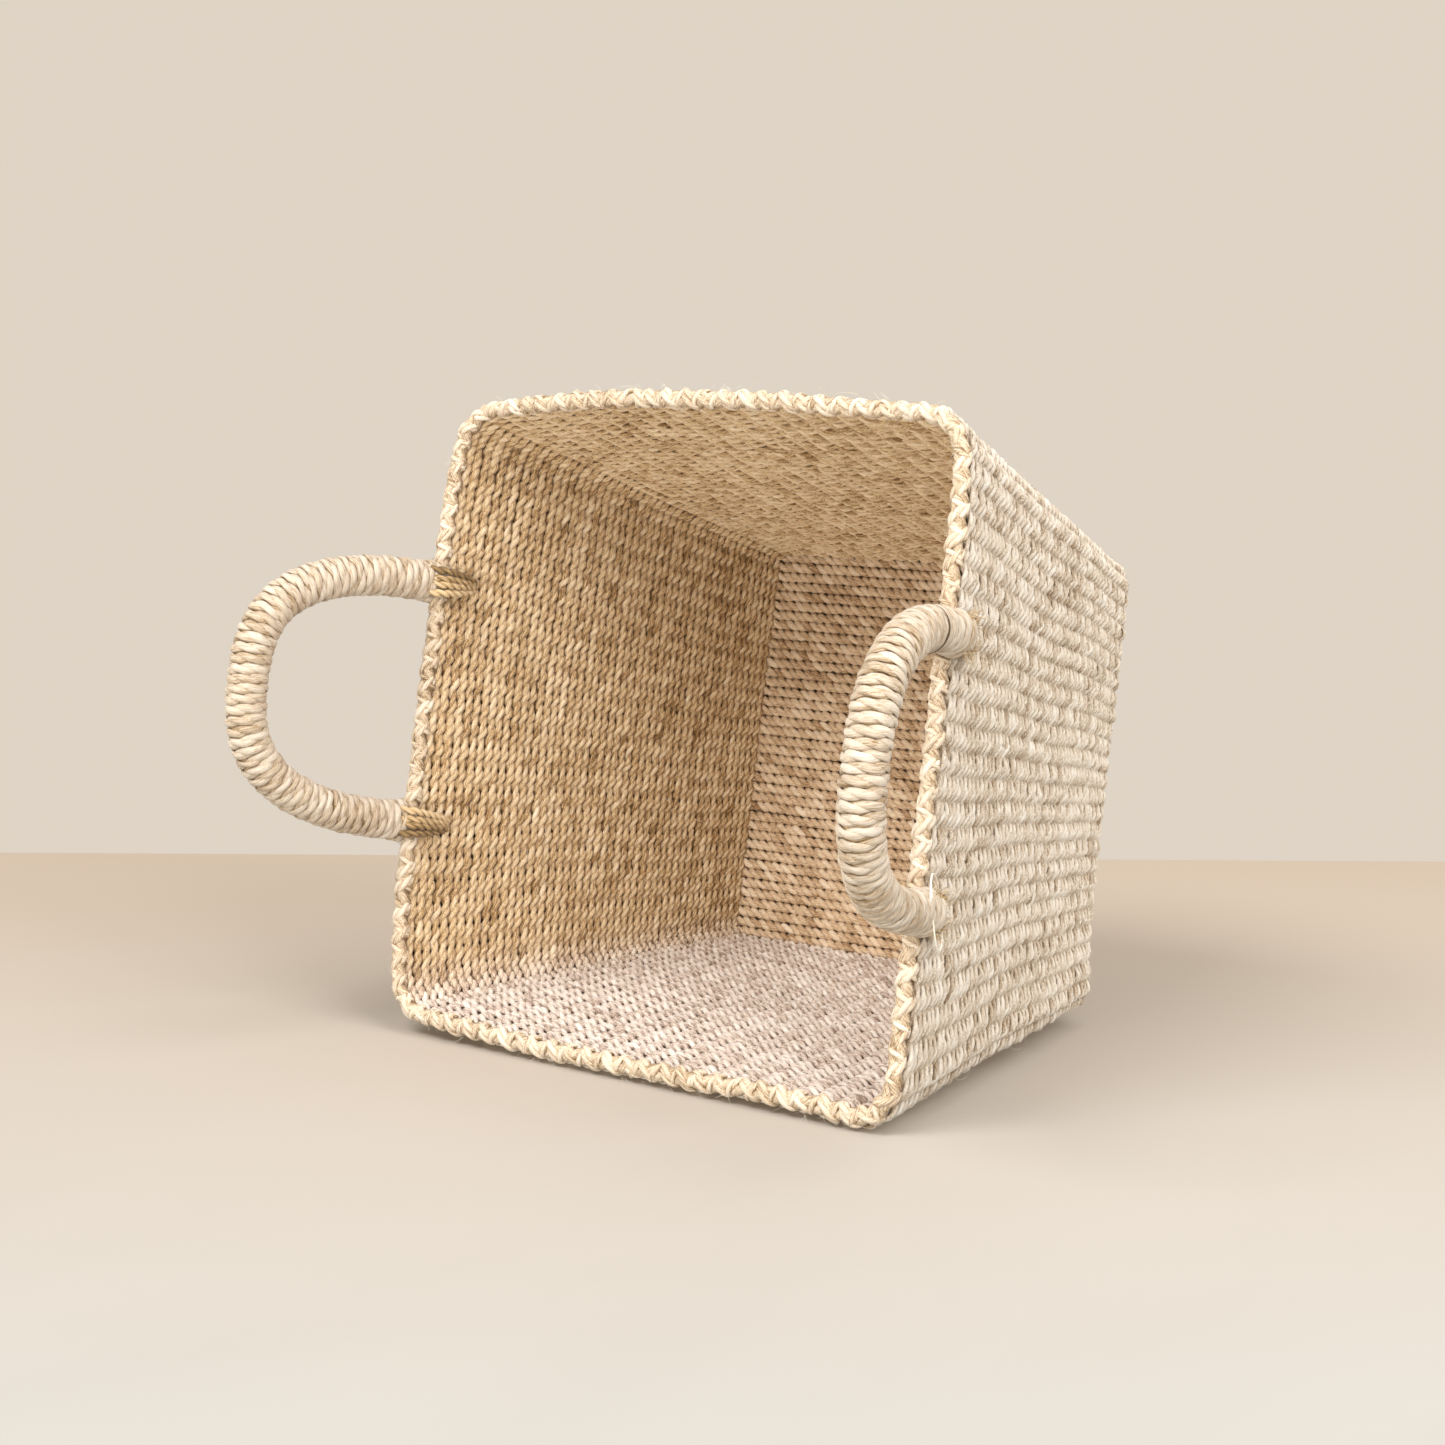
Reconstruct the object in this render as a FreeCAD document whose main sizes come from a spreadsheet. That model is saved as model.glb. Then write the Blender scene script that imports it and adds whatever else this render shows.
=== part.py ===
"""Tapered square basket bin: twined fibre walls on stakes, a braided rim and two rope loop handles.

Millimetres, +Z up, origin at the centre of the base's underside. The handles stand on the +X and -X walls.
"""

import FreeCAD
import Part
import math
import os
import Sketcher

from FreeCAD import Vector

# Driving dimensions: alias, value, what it is.
DIMENSIONS = [
    ("mouth_width", 285, "outer width over the rim, along X"),
    ("mouth_depth", 285, "outer width over the rim, along Y"),
    ("base_width", 208, "outer width of the base, along X"),
    ("base_depth", 208, "outer width of the base, along Y"),
    ("bin_height", 211, "underside of the base to the top of the rim"),
    ("weft_layer", 2.2, "thickness of one face of twined weft"),
    ("stake_diameter", 2.6, "stake inside the weave"),
    ("stake_clearance", 0.1, "gap on each side of a stake"),
    ("stakes_per_side", 24, "stakes in each wall"),
    ("stake_end_gap", 0.6, "stake end to the rim or to the base"),
    ("base_corner_radius", 12, "outer corner radius at the base"),
    ("mouth_corner_radius", 18, "outer corner radius at the rim"),
    ("rim_width", 10, "braided rim, across the wall"),
    ("rim_height", 9, "braided rim, up the wall"),
    ("handle_diameter", 19, "handle over its wrapping"),
    ("core_diameter", 13, "bundle of cords inside the wrapping"),
    ("wrap_clearance", 0.1, "wrapping to core"),
    ("handle_span", 111, "between the centrelines of a handle's legs"),
    ("handle_rise", 88, "centreline of the grip above the rim"),
    ("handle_bend_radius", 44, "centreline radius of a handle's two bends"),
    ("leg_offset", 3, "leg's centre outside the middle of the wall"),
    ("collar_rise", 2, "whipped end of a leg above the rim"),
    ("collar_drop", 8, "whipped end of a leg below the top of the rim, outside the wall"),
    ("swing_gap", 0.4, "whipped end to the swinging loop"),
    ("cord_diameter", 3.4, "one cord of a handle's core"),
    ("anchor_length", 22, "core cords along the inside of the wall"),
    ("anchor_cords", 4, "core cords on the inside, at each leg"),
    ("tail_length", 9, "core cords outside the wall, below the whipped end"),
    ("tail_cords", 3, "core cords on the outside, at each leg"),
    ("cord_gap", 0.3, "between cords, and cord to weave"),
]

doc = FreeCAD.newDocument("basket_bin")
dims = doc.addObject("Spreadsheet::Sheet", "dims")
for row, (alias, value, meaning) in enumerate(DIMENSIONS, start=1):
    dims.set(f"A{row}", meaning)
    dims.set(f"B{row}", str(value))
    dims.setAlias(f"B{row}", alias)
doc.recompute()


def size(alias):
    """Value of a driving dimension."""
    return float(dims.get(alias))


# Derived sizes, as expressions on the sheet.
WALL = "(2 * dims.weft_layer + dims.stake_diameter + 2 * dims.stake_clearance)"
STAKE_SPACE = "(dims.stake_diameter + 2 * dims.stake_clearance)"
WALL_FOOT = WALL
WALL_TOP = "(dims.bin_height - dims.rim_height)"
OVERHANG = f"((dims.rim_width - {WALL}) / 2)"
TOP_WIDTH = f"(dims.mouth_width - 2 * {OVERHANG})"
TOP_DEPTH = f"(dims.mouth_depth - 2 * {OVERHANG})"
LEAN = f"atan(({TOP_WIDTH} - dims.base_width) / 2 / ({WALL_TOP} - {WALL_FOOT}))"

wall_thickness = 2 * size("weft_layer") + size("stake_diameter") + 2 * size("stake_clearance")
stake_space = size("stake_diameter") + 2 * size("stake_clearance")
wall_foot = wall_thickness
wall_top = size("bin_height") - size("rim_height")
overhang = (size("rim_width") - wall_thickness) / 2
top_width = size("mouth_width") - 2 * overhang
top_depth = size("mouth_depth") - 2 * overhang
top_radius = size("mouth_corner_radius") - overhang
TOP_RADIUS = f"(dims.mouth_corner_radius - {OVERHANG})"

# Each side: name, quarter turns from the +Y wall, its width and depth at the foot and at the top.
ALONG_X = ("dims.base_width", "dims.base_depth", TOP_WIDTH, TOP_DEPTH)
ALONG_Y = ("dims.base_depth", "dims.base_width", TOP_DEPTH, TOP_WIDTH)
SIDES = [("back", 0, ALONG_X), ("left", 1, ALONG_Y), ("front", 2, ALONG_X), ("right", 3, ALONG_Y)]
QUARTER = 90

sub_parts = []


def origin_plane(body, role):
    """One of a body's own origin planes."""
    return next(feature for feature in body.Origin.OriginFeatures if feature.Role == role)


def new_body(label):
    body = doc.addObject("PartDesign::Body", label)
    body.Label = label
    return body


def keep(feature, label):
    """Marks a feature as a sub-part of the bin."""
    feature.Label = label
    sub_parts.append(feature)
    return feature


def new_sketch(body, name, role="XY_Plane", height="0"):
    """A sketch on one of the body's origin planes, raised by an expression along the plane's normal."""
    sketch = body.newObject("Sketcher::SketchObject", f"{name}_{body.Name}")
    sketch.AttachmentSupport = (origin_plane(body, role), [""])
    sketch.MapMode = "FlatFace"
    sketch.setExpression("AttachmentOffset.Base.z", f"{height} * 1mm")
    return sketch


def bind(sketch, kind, places, expression, start=10.0):
    """A dimensional constraint that follows the sheet."""
    index = sketch.addConstraint(Sketcher.Constraint(kind, *places, start))
    sketch.setExpression(f"Constraints[{index}]", f"{expression} * 1mm")


def number(expression):
    """Current value of an expression on the sheet."""
    value = dims.evalExpression(expression.replace("dims.", ""))
    return float(getattr(value, "Value", value))


def box_sketch(body, name, height, half_length, near, far):
    """A rectangle centred on the Y axis, from y = near to y = far."""
    sketch = new_sketch(body, name, height=height)
    x, low, high = number(half_length), number(near), number(far)
    corners = [Vector(-x, low), Vector(x, low), Vector(x, high), Vector(-x, high)]
    for index in range(4):
        sketch.addGeometry(Part.LineSegment(corners[index], corners[(index + 1) % 4]))
    for index in range(4):
        sketch.addConstraint(Sketcher.Constraint("Coincident", index, 2, (index + 1) % 4, 1))
    sketch.addConstraint(Sketcher.Constraint("Horizontal", 2))
    for index in (1, 3):
        sketch.addConstraint(Sketcher.Constraint("Vertical", index))
    sketch.addConstraint(Sketcher.Constraint("Symmetric", 0, 1, 0, 2, -2))
    bind(sketch, "DistanceX", (0, 1, 0, 2), f"2 * {half_length}", 2 * x)
    bind(sketch, "DistanceY", (-1, 1, 0, 1), near, low)
    bind(sketch, "DistanceY", (-1, 1, 2, 1), far, high)
    return sketch


def quarter_ring_sketch(body, name, height, width, depth, outer, inner):
    """A quarter ring in the +X +Y corner of a rectangle of that width and depth."""
    sketch = new_sketch(body, name, height=height)
    r_out, r_in = number(outer), number(inner)
    cx, cy = number(width) / 2 - r_out, number(depth) / 2 - r_out
    centre = Vector(cx, cy)
    for radius in (r_out, r_in):
        circle = Part.Circle(centre, Vector(0, 0, 1), radius)
        sketch.addGeometry(Part.ArcOfCircle(circle, 0, math.pi / 2))
    sketch.addGeometry(Part.LineSegment(Vector(cx, cy + r_out), Vector(cx, cy + r_in)))
    sketch.addGeometry(Part.LineSegment(Vector(cx + r_in, cy), Vector(cx + r_out, cy)))
    for places in ((0, 2, 2, 1), (2, 2, 1, 2), (1, 1, 3, 1), (3, 2, 0, 1), (0, 3, 1, 3)):
        sketch.addConstraint(Sketcher.Constraint("Coincident", *places))
    sketch.addConstraint(Sketcher.Constraint("Vertical", 0, 3, 2, 1))
    sketch.addConstraint(Sketcher.Constraint("Horizontal", 0, 3, 3, 1))
    sketch.addConstraint(Sketcher.Constraint("Vertical", 2))
    sketch.addConstraint(Sketcher.Constraint("Horizontal", 3))
    bind(sketch, "Radius", (0,), outer, r_out)
    bind(sketch, "Radius", (1,), inner, r_in)
    bind(sketch, "DistanceX", (-1, 1, 0, 3), f"({width} / 2 - {outer})", cx)
    bind(sketch, "DistanceY", (-1, 1, 0, 3), f"({depth} / 2 - {outer})", cy)
    return sketch


def loft(body, foot, top):
    """A straight-sided loft between two sketches of one body."""
    feature = body.newObject("PartDesign::AdditiveLoft", f"loft_{body.Name}")
    feature.Profile = foot
    feature.Sections = [top]
    feature.Ruled = True
    return feature


def turn(feature, quarters):
    """Turns a feature about Z by quarter turns."""
    feature.Placement = FreeCAD.Placement(Vector(), FreeCAD.Rotation(Vector(0, 0, 1), QUARTER * quarters))


def wall_layer(label, quarters, sizes, outer_inset, inner_inset):
    """One flat, tapered face of a wall, between two depths inside the wall's outer face."""
    foot_width, foot_depth, top_w, top_d = sizes
    body = new_body(label)
    foot = box_sketch(
        body, "foot", WALL_FOOT, f"({foot_width} / 2 - dims.base_corner_radius)",
        f"({foot_depth} / 2 - {inner_inset})", f"({foot_depth} / 2 - {outer_inset})",
    )
    top = box_sketch(
        body, "top", WALL_TOP, f"({top_w} / 2 - {TOP_RADIUS})",
        f"({top_d} / 2 - {inner_inset})", f"({top_d} / 2 - {outer_inset})",
    )
    loft(body, foot, top)
    turn(body, quarters)
    return keep(body, label)


def wall_corner(label, quarters, sizes):
    """The weave that turns the corner on the +X side of a wall, as wide as the two walls it joins."""
    foot_width, foot_depth, top_w, top_d = sizes
    body = new_body(label)
    foot = quarter_ring_sketch(
        body, "foot", WALL_FOOT, foot_width, foot_depth,
        "dims.base_corner_radius", f"(dims.base_corner_radius - {WALL})",
    )
    top = quarter_ring_sketch(
        body, "top", WALL_TOP, top_w, top_d, TOP_RADIUS, f"({TOP_RADIUS} - {WALL})",
    )
    loft(body, foot, top)
    turn(body, quarters)
    return keep(body, label)


def wall_stakes(label, quarters, foot_width, foot_depth, top_w, top_d):
    """Round stakes between a wall's two faces of weft, fanned from the base to the rim."""
    count = int(size("stakes_per_side"))
    inset = size("weft_layer") + stake_space / 2
    foot_half = foot_width / 2 - size("base_corner_radius")
    top_half = top_w / 2 - top_radius
    stakes = []
    for index in range(count):
        share = (index + 0.5) / count * 2 - 1
        foot = Vector(share * foot_half, foot_depth / 2 - inset, wall_foot)
        top = Vector(share * top_half, top_d / 2 - inset, wall_top)
        along = (top - foot).normalize()
        length = (top - foot).Length - 2 * size("stake_end_gap")
        start = foot + along * size("stake_end_gap")
        stakes.append(Part.makeCylinder(size("stake_diameter") / 2, length, start, along))
    feature = doc.addObject("Part::Feature", label)
    feature.Shape = Part.makeCompound(stakes)
    turn(feature, quarters)
    return keep(feature, label)


def base_plate(label, low, thickness):
    """One face of the base's weft, rounded at its corners."""
    body = new_body(label)
    outline = new_sketch(body, "outline", height=low)
    half_x, half_y = size("base_width") / 2, size("base_depth") / 2
    corners = [Vector(-half_x, -half_y), Vector(half_x, -half_y), Vector(half_x, half_y), Vector(-half_x, half_y)]
    for index in range(4):
        outline.addGeometry(Part.LineSegment(corners[index], corners[(index + 1) % 4]))
    for index in range(4):
        outline.addConstraint(Sketcher.Constraint("Coincident", index, 2, (index + 1) % 4, 1))
    for index in (0, 2):
        outline.addConstraint(Sketcher.Constraint("Horizontal", index))
    for index in (1, 3):
        outline.addConstraint(Sketcher.Constraint("Vertical", index))
    outline.addConstraint(Sketcher.Constraint("Symmetric", 0, 1, 2, 1, -1, 1))
    bind(outline, "DistanceX", (0, 1, 0, 2), "dims.base_width", 2 * half_x)
    bind(outline, "DistanceY", (1, 1, 1, 2), "dims.base_depth", 2 * half_y)
    pad = body.newObject("PartDesign::Pad", f"pad_{label}")
    pad.Profile = outline
    pad.setExpression("Length", f"{thickness} * 1mm")
    doc.recompute()
    upright = [
        f"Edge{index}" for index, edge in enumerate(pad.Shape.Edges, start=1)
        if abs(edge.Vertexes[0].Z - edge.Vertexes[-1].Z) > size("weft_layer") / 2
    ]
    fillet = body.newObject("PartDesign::Fillet", f"corners_{label}")
    fillet.Base = (pad, upright)
    fillet.setExpression("Radius", "dims.base_corner_radius * 1mm")
    body.Tip = fillet
    return keep(body, label)


def base_stakes(label):
    """Stakes across the base, front to back, between its two faces of weft."""
    count = int(size("stakes_per_side"))
    half = size("base_width") / 2 - size("base_corner_radius")
    length = size("base_depth") - 2 * size("stake_end_gap")
    stakes = []
    for index in range(count):
        x = ((index + 0.5) / count * 2 - 1) * half
        start = Vector(x, -length / 2, wall_thickness / 2)
        stakes.append(Part.makeCylinder(size("stake_diameter") / 2, length, start, Vector(0, 1, 0)))
    feature = doc.addObject("Part::Feature", label)
    feature.Shape = Part.makeCompound(stakes)
    return keep(feature, label)


def rim_profile(body, name, role, centre, height):
    """The rim's section: flat below, round above, at a distance along the plane's first axis."""
    sketch = new_sketch(body, name, role, height)
    half, side = size("rim_width") / 2, size("rim_height") - size("rim_width") / 2
    middle, low = number(centre), wall_top
    left, right, shoulder = middle - half, middle + half, low + side
    sketch.addGeometry(Part.LineSegment(Vector(left, low), Vector(right, low)))
    sketch.addGeometry(Part.LineSegment(Vector(right, low), Vector(right, shoulder)))
    top = Part.Circle(Vector(middle, shoulder), Vector(0, 0, 1), half)
    sketch.addGeometry(Part.ArcOfCircle(top, 0, math.pi))
    sketch.addGeometry(Part.LineSegment(Vector(left, shoulder), Vector(left, low)))
    for places in ((0, 2, 1, 1), (1, 2, 2, 1), (2, 2, 3, 1), (3, 2, 0, 1)):
        sketch.addConstraint(Sketcher.Constraint("Coincident", *places))
    sketch.addConstraint(Sketcher.Constraint("Horizontal", 0))
    sketch.addConstraint(Sketcher.Constraint("Vertical", 1))
    sketch.addConstraint(Sketcher.Constraint("Vertical", 3))
    sketch.addConstraint(Sketcher.Constraint("Horizontal", 2, 3, 2, 1))
    sketch.addConstraint(Sketcher.Constraint("Horizontal", 2, 3, 2, 2))
    bind(sketch, "Radius", (2,), "dims.rim_width / 2", half)
    bind(sketch, "DistanceY", (-1, 1, 0, 1), WALL_TOP, low)
    bind(sketch, "DistanceY", (0, 2, 1, 2), "(dims.rim_height - dims.rim_width / 2)", side)
    bind(sketch, "DistanceX", (-1, 1, 2, 3), centre, middle)
    return sketch


def rim_bar(label, quarters, sizes):
    """The straight run of braid on top of one wall."""
    _, _, top_w, top_d = sizes
    body = new_body(label)
    half_run = f"({top_w} / 2 - {TOP_RADIUS})"
    section = rim_profile(body, "section", "YZ_Plane", f"({top_d} / 2 - {WALL} / 2)", f"-{half_run}")
    pad = body.newObject("PartDesign::Pad", f"run_{label}")
    pad.Profile = section
    pad.setExpression("Length", f"2 * {half_run} * 1mm")
    turn(body, quarters)
    return keep(body, label)


def rim_corner(label, quarters, sizes):
    """The quarter turn of braid at the +X end of a wall's run."""
    _, _, top_w, top_d = sizes
    body = new_body(label)
    centre_x, centre_y = f"({top_w} / 2 - {TOP_RADIUS})", f"({top_d} / 2 - {TOP_RADIUS})"
    section = rim_profile(body, "section", "YZ_Plane", f"({top_d} / 2 - {WALL} / 2)", centre_x)
    axis = new_sketch(body, "axis", "YZ_Plane", centre_x)
    axis.addGeometry(Part.LineSegment(Vector(number(centre_y), 0), Vector(number(centre_y), wall_top)))
    axis.addConstraint(Sketcher.Constraint("Vertical", 0))
    axis.addConstraint(Sketcher.Constraint("PointOnObject", 0, 1, -1))
    bind(axis, "DistanceX", (-1, 1, 0, 1), centre_y, number(centre_y))
    bind(axis, "DistanceY", (0, 1, 0, 2), WALL_TOP, wall_top)
    turned = body.newObject("PartDesign::Revolution", f"turn_{label}")
    turned.Profile = section
    turned.ReferenceAxis = (axis, ["Edge1"])
    turned.Angle = QUARTER
    doc.recompute()
    if turned.Shape.BoundBox.XMax < number(centre_x) + size("rim_width") / 2:
        turned.Reversed = True
    turn(body, quarters)
    return keep(body, label)


def loop_pipe(label, radius):
    """A round bar along a handle's centreline, which starts and ends on the swing axis at z = 0."""
    body = new_body(label)
    half, bend = size("handle_span") / 2, size("handle_bend_radius")
    rise = number(LOOP_RISE)
    path = new_sketch(body, "path", "YZ_Plane")
    shoulder, flat = rise - bend, half - bend
    path.addGeometry(Part.LineSegment(Vector(-half, 0), Vector(-half, shoulder)))
    bend_1 = Part.Circle(Vector(-flat, shoulder), Vector(0, 0, 1), bend)
    path.addGeometry(Part.ArcOfCircle(bend_1, math.pi / 2, math.pi))
    path.addGeometry(Part.LineSegment(Vector(-flat, rise), Vector(flat, rise)))
    bend_2 = Part.Circle(Vector(flat, shoulder), Vector(0, 0, 1), bend)
    path.addGeometry(Part.ArcOfCircle(bend_2, 0, math.pi / 2))
    path.addGeometry(Part.LineSegment(Vector(half, shoulder), Vector(half, 0)))
    for places in ((0, 2, 1, 2), (1, 1, 2, 1), (2, 2, 3, 2), (3, 1, 4, 1)):
        path.addConstraint(Sketcher.Constraint("Tangent", *places))
    path.addConstraint(Sketcher.Constraint("Vertical", 0))
    path.addConstraint(Sketcher.Constraint("Vertical", 4))
    path.addConstraint(Sketcher.Constraint("Symmetric", 0, 1, 4, 2, -1, 1))
    path.addConstraint(Sketcher.Constraint("Equal", 1, 3))
    bind(path, "Radius", (1,), "dims.handle_bend_radius", bend)
    bind(path, "DistanceX", (0, 1, 4, 2), "dims.handle_span", 2 * half)
    bind(path, "DistanceY", (0, 1, 2, 1), LOOP_RISE, rise)
    ring = new_sketch(body, "ring", "XY_Plane")
    ring.addGeometry(Part.Circle(Vector(0, -half), Vector(0, 0, 1), number(radius)))
    ring.addConstraint(Sketcher.Constraint("PointOnObject", 0, 3, -2))
    bind(ring, "Radius", (0,), radius, number(radius))
    bind(ring, "DistanceY", (0, 3, -1, 1), "dims.handle_span / 2", half)
    pipe = body.newObject("PartDesign::AdditivePipe", f"pipe_{label}")
    pipe.Profile = ring
    pipe.Spine = (path, ["Edge1", "Edge2", "Edge3", "Edge4", "Edge5"])
    return body


# The swing axis: above the whipped ends by the loop's own radius and a gap.
RIM_UP_LEAN = f"(dims.rim_height / cos({LEAN}))"
AXIS_ABOVE_RIM = "(dims.collar_rise + dims.swing_gap + dims.handle_diameter / 2)"
AXIS_UP_LEAN = f"({RIM_UP_LEAN} + {AXIS_ABOVE_RIM})"
LOOP_RISE = f"(dims.handle_rise - {AXIS_ABOVE_RIM})"
WALL_MIDDLE = f"({TOP_WIDTH} / 2 - {WALL} / 2)"

# The anchor cords run inside the rim, whose upright section leans by this much against the wall's plane.
RIM_SHIFT = f"(dims.rim_height * sin({LEAN}))"
CORD_REACH = "(dims.cord_diameter / 2 + dims.cord_gap)"
ANCHOR_INSET = f"(dims.rim_width / 2 + {RIM_SHIFT} + {CORD_REACH})"


def lean_out(feature, sign, up="0", out="0"):
    """Puts a feature in the plane of the +X or -X wall: up the wall and out from its middle."""
    feature.Placement = FreeCAD.Placement(Vector(), FreeCAD.Rotation(Vector(0, sign, 0), 10))
    feature.setExpression("Placement.Rotation.Angle", LEAN)
    across = f"({WALL_MIDDLE} + {up} * sin({LEAN}) + {out} * cos({LEAN}))"
    feature.setExpression("Placement.Base.x", f"{sign} * {across} * 1mm")
    feature.setExpression("Placement.Base.z", f"({WALL_TOP} + {up} * cos({LEAN}) - {out} * sin({LEAN})) * 1mm")


def cylinder(name, radius, length, x="0", y="0", z="0"):
    """An upright cylinder from its foot."""
    feature = doc.addObject("Part::Cylinder", name)
    feature.setExpression("Radius", f"{radius} * 1mm")
    feature.setExpression("Height", f"{length} * 1mm")
    feature.setExpression("Placement.Base.x", f"{x} * 1mm")
    feature.setExpression("Placement.Base.y", f"{y} * 1mm")
    feature.setExpression("Placement.Base.z", f"{z} * 1mm")
    return feature


def fuse(name, shapes):
    feature = doc.addObject("Part::MultiFuse", name)
    feature.Shapes = shapes
    return feature


def cut(name, base, tool):
    feature = doc.addObject("Part::Cut", name)
    feature.Base = base
    feature.Tool = tool
    return feature


def handle_loop(side, sign):
    """The loop that swings: a core of cords inside a wrapping with round ends on the swing axis."""
    core = loop_pipe(f"{side}_handle_core", "dims.core_diameter / 2")
    lean_out(core, sign, AXIS_UP_LEAN, "dims.leg_offset")
    keep(core, f"{side}_handle_core")
    skin = loop_pipe(f"{side}_wrap_outside", "dims.handle_diameter / 2")
    bore = loop_pipe(f"{side}_wrap_bore", "(dims.core_diameter / 2 + dims.wrap_clearance)")
    ends = []
    for leg in (-1, 1):
        ball = doc.addObject("Part::Sphere", f"{side}_leg_end")
        ball.setExpression("Radius", "dims.handle_diameter / 2 * 1mm")
        ball.setExpression("Placement.Base.y", f"{leg} * dims.handle_span / 2 * 1mm")
        ends.append(ball)
    wrap = cut(f"{side}_handle_wrap", fuse(f"{side}_wrap_solid", [skin, *ends]), bore)
    lean_out(wrap, sign, AXIS_UP_LEAN, "dims.leg_offset")
    keep(wrap, f"{side}_handle_wrap")


def cord_saddle(side, sign, y):
    """The whipping over the anchor cords where they bend across the rim."""
    reach = f"({ANCHOR_INSET} + dims.cord_diameter / 2)"
    row_width = "dims.anchor_cords * (dims.cord_diameter + dims.cord_gap)"
    saddle = doc.addObject("Part::Box", f"{side}_saddle")
    saddle.setExpression("Length", f"{reach} * 1mm")
    saddle.setExpression("Width", f"{row_width} * 1mm")
    saddle.setExpression("Height", "dims.collar_rise * 1mm")
    saddle.setExpression("Placement.Base.x", f"-({sign} + 1) / 2 * {reach} * 1mm")
    saddle.setExpression("Placement.Base.y", f"({y} - {row_width} / 2) * 1mm")
    saddle.setExpression("Placement.Base.z", f"{RIM_UP_LEAN} * 1mm")
    return saddle


def leg_collars(side, sign, rim, wall):
    """The whipped ends of a handle's legs, which sit on the rim and against the outside of the wall."""
    radius = "dims.handle_diameter / 2"
    shapes = []
    for leg in (-1, 1):
        y = f"{leg} * dims.handle_span / 2"
        across = f"{sign} * dims.leg_offset"
        above = cylinder(f"{side}_whip_above", radius, "dims.collar_rise", across, y, RIM_UP_LEAN)
        below = cylinder(
            f"{side}_whip_below", radius, "(dims.collar_rise + dims.collar_drop)",
            across, y, f"({RIM_UP_LEAN} - dims.collar_drop)",
        )
        outside = doc.addObject("Part::Box", f"{side}_outside")
        outside.setExpression("Length", "dims.handle_diameter * 1mm")
        outside.setExpression("Width", "2 * dims.handle_diameter * 1mm")
        outside.setExpression("Height", "2 * dims.handle_diameter * 1mm")
        outside.setExpression("Placement.Base.x", f"({sign} - 1) * dims.handle_diameter / 2 * 1mm")
        outside.setExpression("Placement.Base.y", f"({y} - dims.handle_diameter) * 1mm")
        half = doc.addObject("Part::MultiCommon", f"{side}_whip_half")
        half.Shapes = [below, outside]
        shapes += [above, half, cord_saddle(side, sign, y)]
    upright = fuse(f"{side}_whips", shapes)
    lean_out(upright, sign)
    on_rim = cut(f"{side}_whips_on_rim", upright, rim)
    collars = cut(f"{side}_leg_collars", on_rim, wall)
    keep(collars, f"{side}_leg_collars")


def cord_row(label, sign, count, length, top, across):
    """Short parallel cords beside the wall, side by side at each leg, hanging down from their top ends."""
    pitch = size("cord_diameter") + size("cord_gap")
    cords = []
    for leg in (-1, 1):
        for index in range(count):
            y = leg * size("handle_span") / 2 + (index - (count - 1) / 2) * pitch
            foot = Vector(sign * across, y, top - length)
            cords.append(Part.makeCylinder(size("cord_diameter") / 2, length, foot))
    feature = doc.addObject("Part::Feature", label)
    feature.Shape = Part.makeCompound(cords)
    lean_out(feature, sign)
    return keep(feature, label)


def handle_cords(side, sign):
    """The core cords that hold a handle: inside the wall, and their tails outside it."""
    anchor_top = number(RIM_UP_LEAN) - size("cord_gap")
    inside = -number(ANCHOR_INSET)
    anchors = int(size("anchor_cords"))
    tails = int(size("tail_cords"))
    cord_row(f"{side}_anchor_cords", sign, anchors, size("anchor_length"), anchor_top, inside)
    tail_top = anchor_top - size("collar_drop")
    outside = size("rim_width") / 2 + number(CORD_REACH)
    cord_row(f"{side}_cord_tails", sign, tails, size("tail_length"), tail_top, outside)


base_plate("base_outer_weft", "0", "dims.weft_layer")
base_stakes("base_stakes")
base_plate("base_inner_weft", f"(dims.weft_layer + {STAKE_SPACE})", "dims.weft_layer")

outer_walls = {}
rims = {}
for side, quarters, sizes in SIDES:
    outer_walls[side] = wall_layer(f"{side}_wall_outer_weft", quarters, sizes, "0", "dims.weft_layer")
    wall_layer(f"{side}_wall_inner_weft", quarters, sizes, f"(dims.weft_layer + {STAKE_SPACE})", WALL)
    numbers = [number(expression) for expression in sizes]
    wall_stakes(f"{side}_wall_stakes", quarters, *numbers)
    wall_corner(f"{side}_corner_weft", quarters, sizes)
    rims[side] = rim_bar(f"{side}_rim_braid", quarters, sizes)
    rim_corner(f"{side}_rim_corner", quarters, sizes)

for side, sign in (("right", 1), ("left", -1)):
    handle_loop(side, sign)
    leg_collars(side, sign, rims[side], outer_walls[side])
    handle_cords(side, sign)

doc.recompute()

for item in doc.Objects:
    if "Invalid" in item.State or "Error" in item.State:
        raise RuntimeError(f"{item.Name} failed: {item.State}")
for item in sub_parts:
    if item.Shape.isNull() or not item.Shape.isValid():
        raise RuntimeError(f"{item.Label} has no valid shape")

os.makedirs("parts", exist_ok=True)
for item in sub_parts:
    item.Shape.exportStep(f"parts/{item.Label}.step")
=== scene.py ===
"""A twined natural-fibre storage bin with a braided rim and two wrapped rope handles, lying on one wall."""
import math

import bpy
import numpy as np
from mathutils import Matrix, Vector


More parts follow.
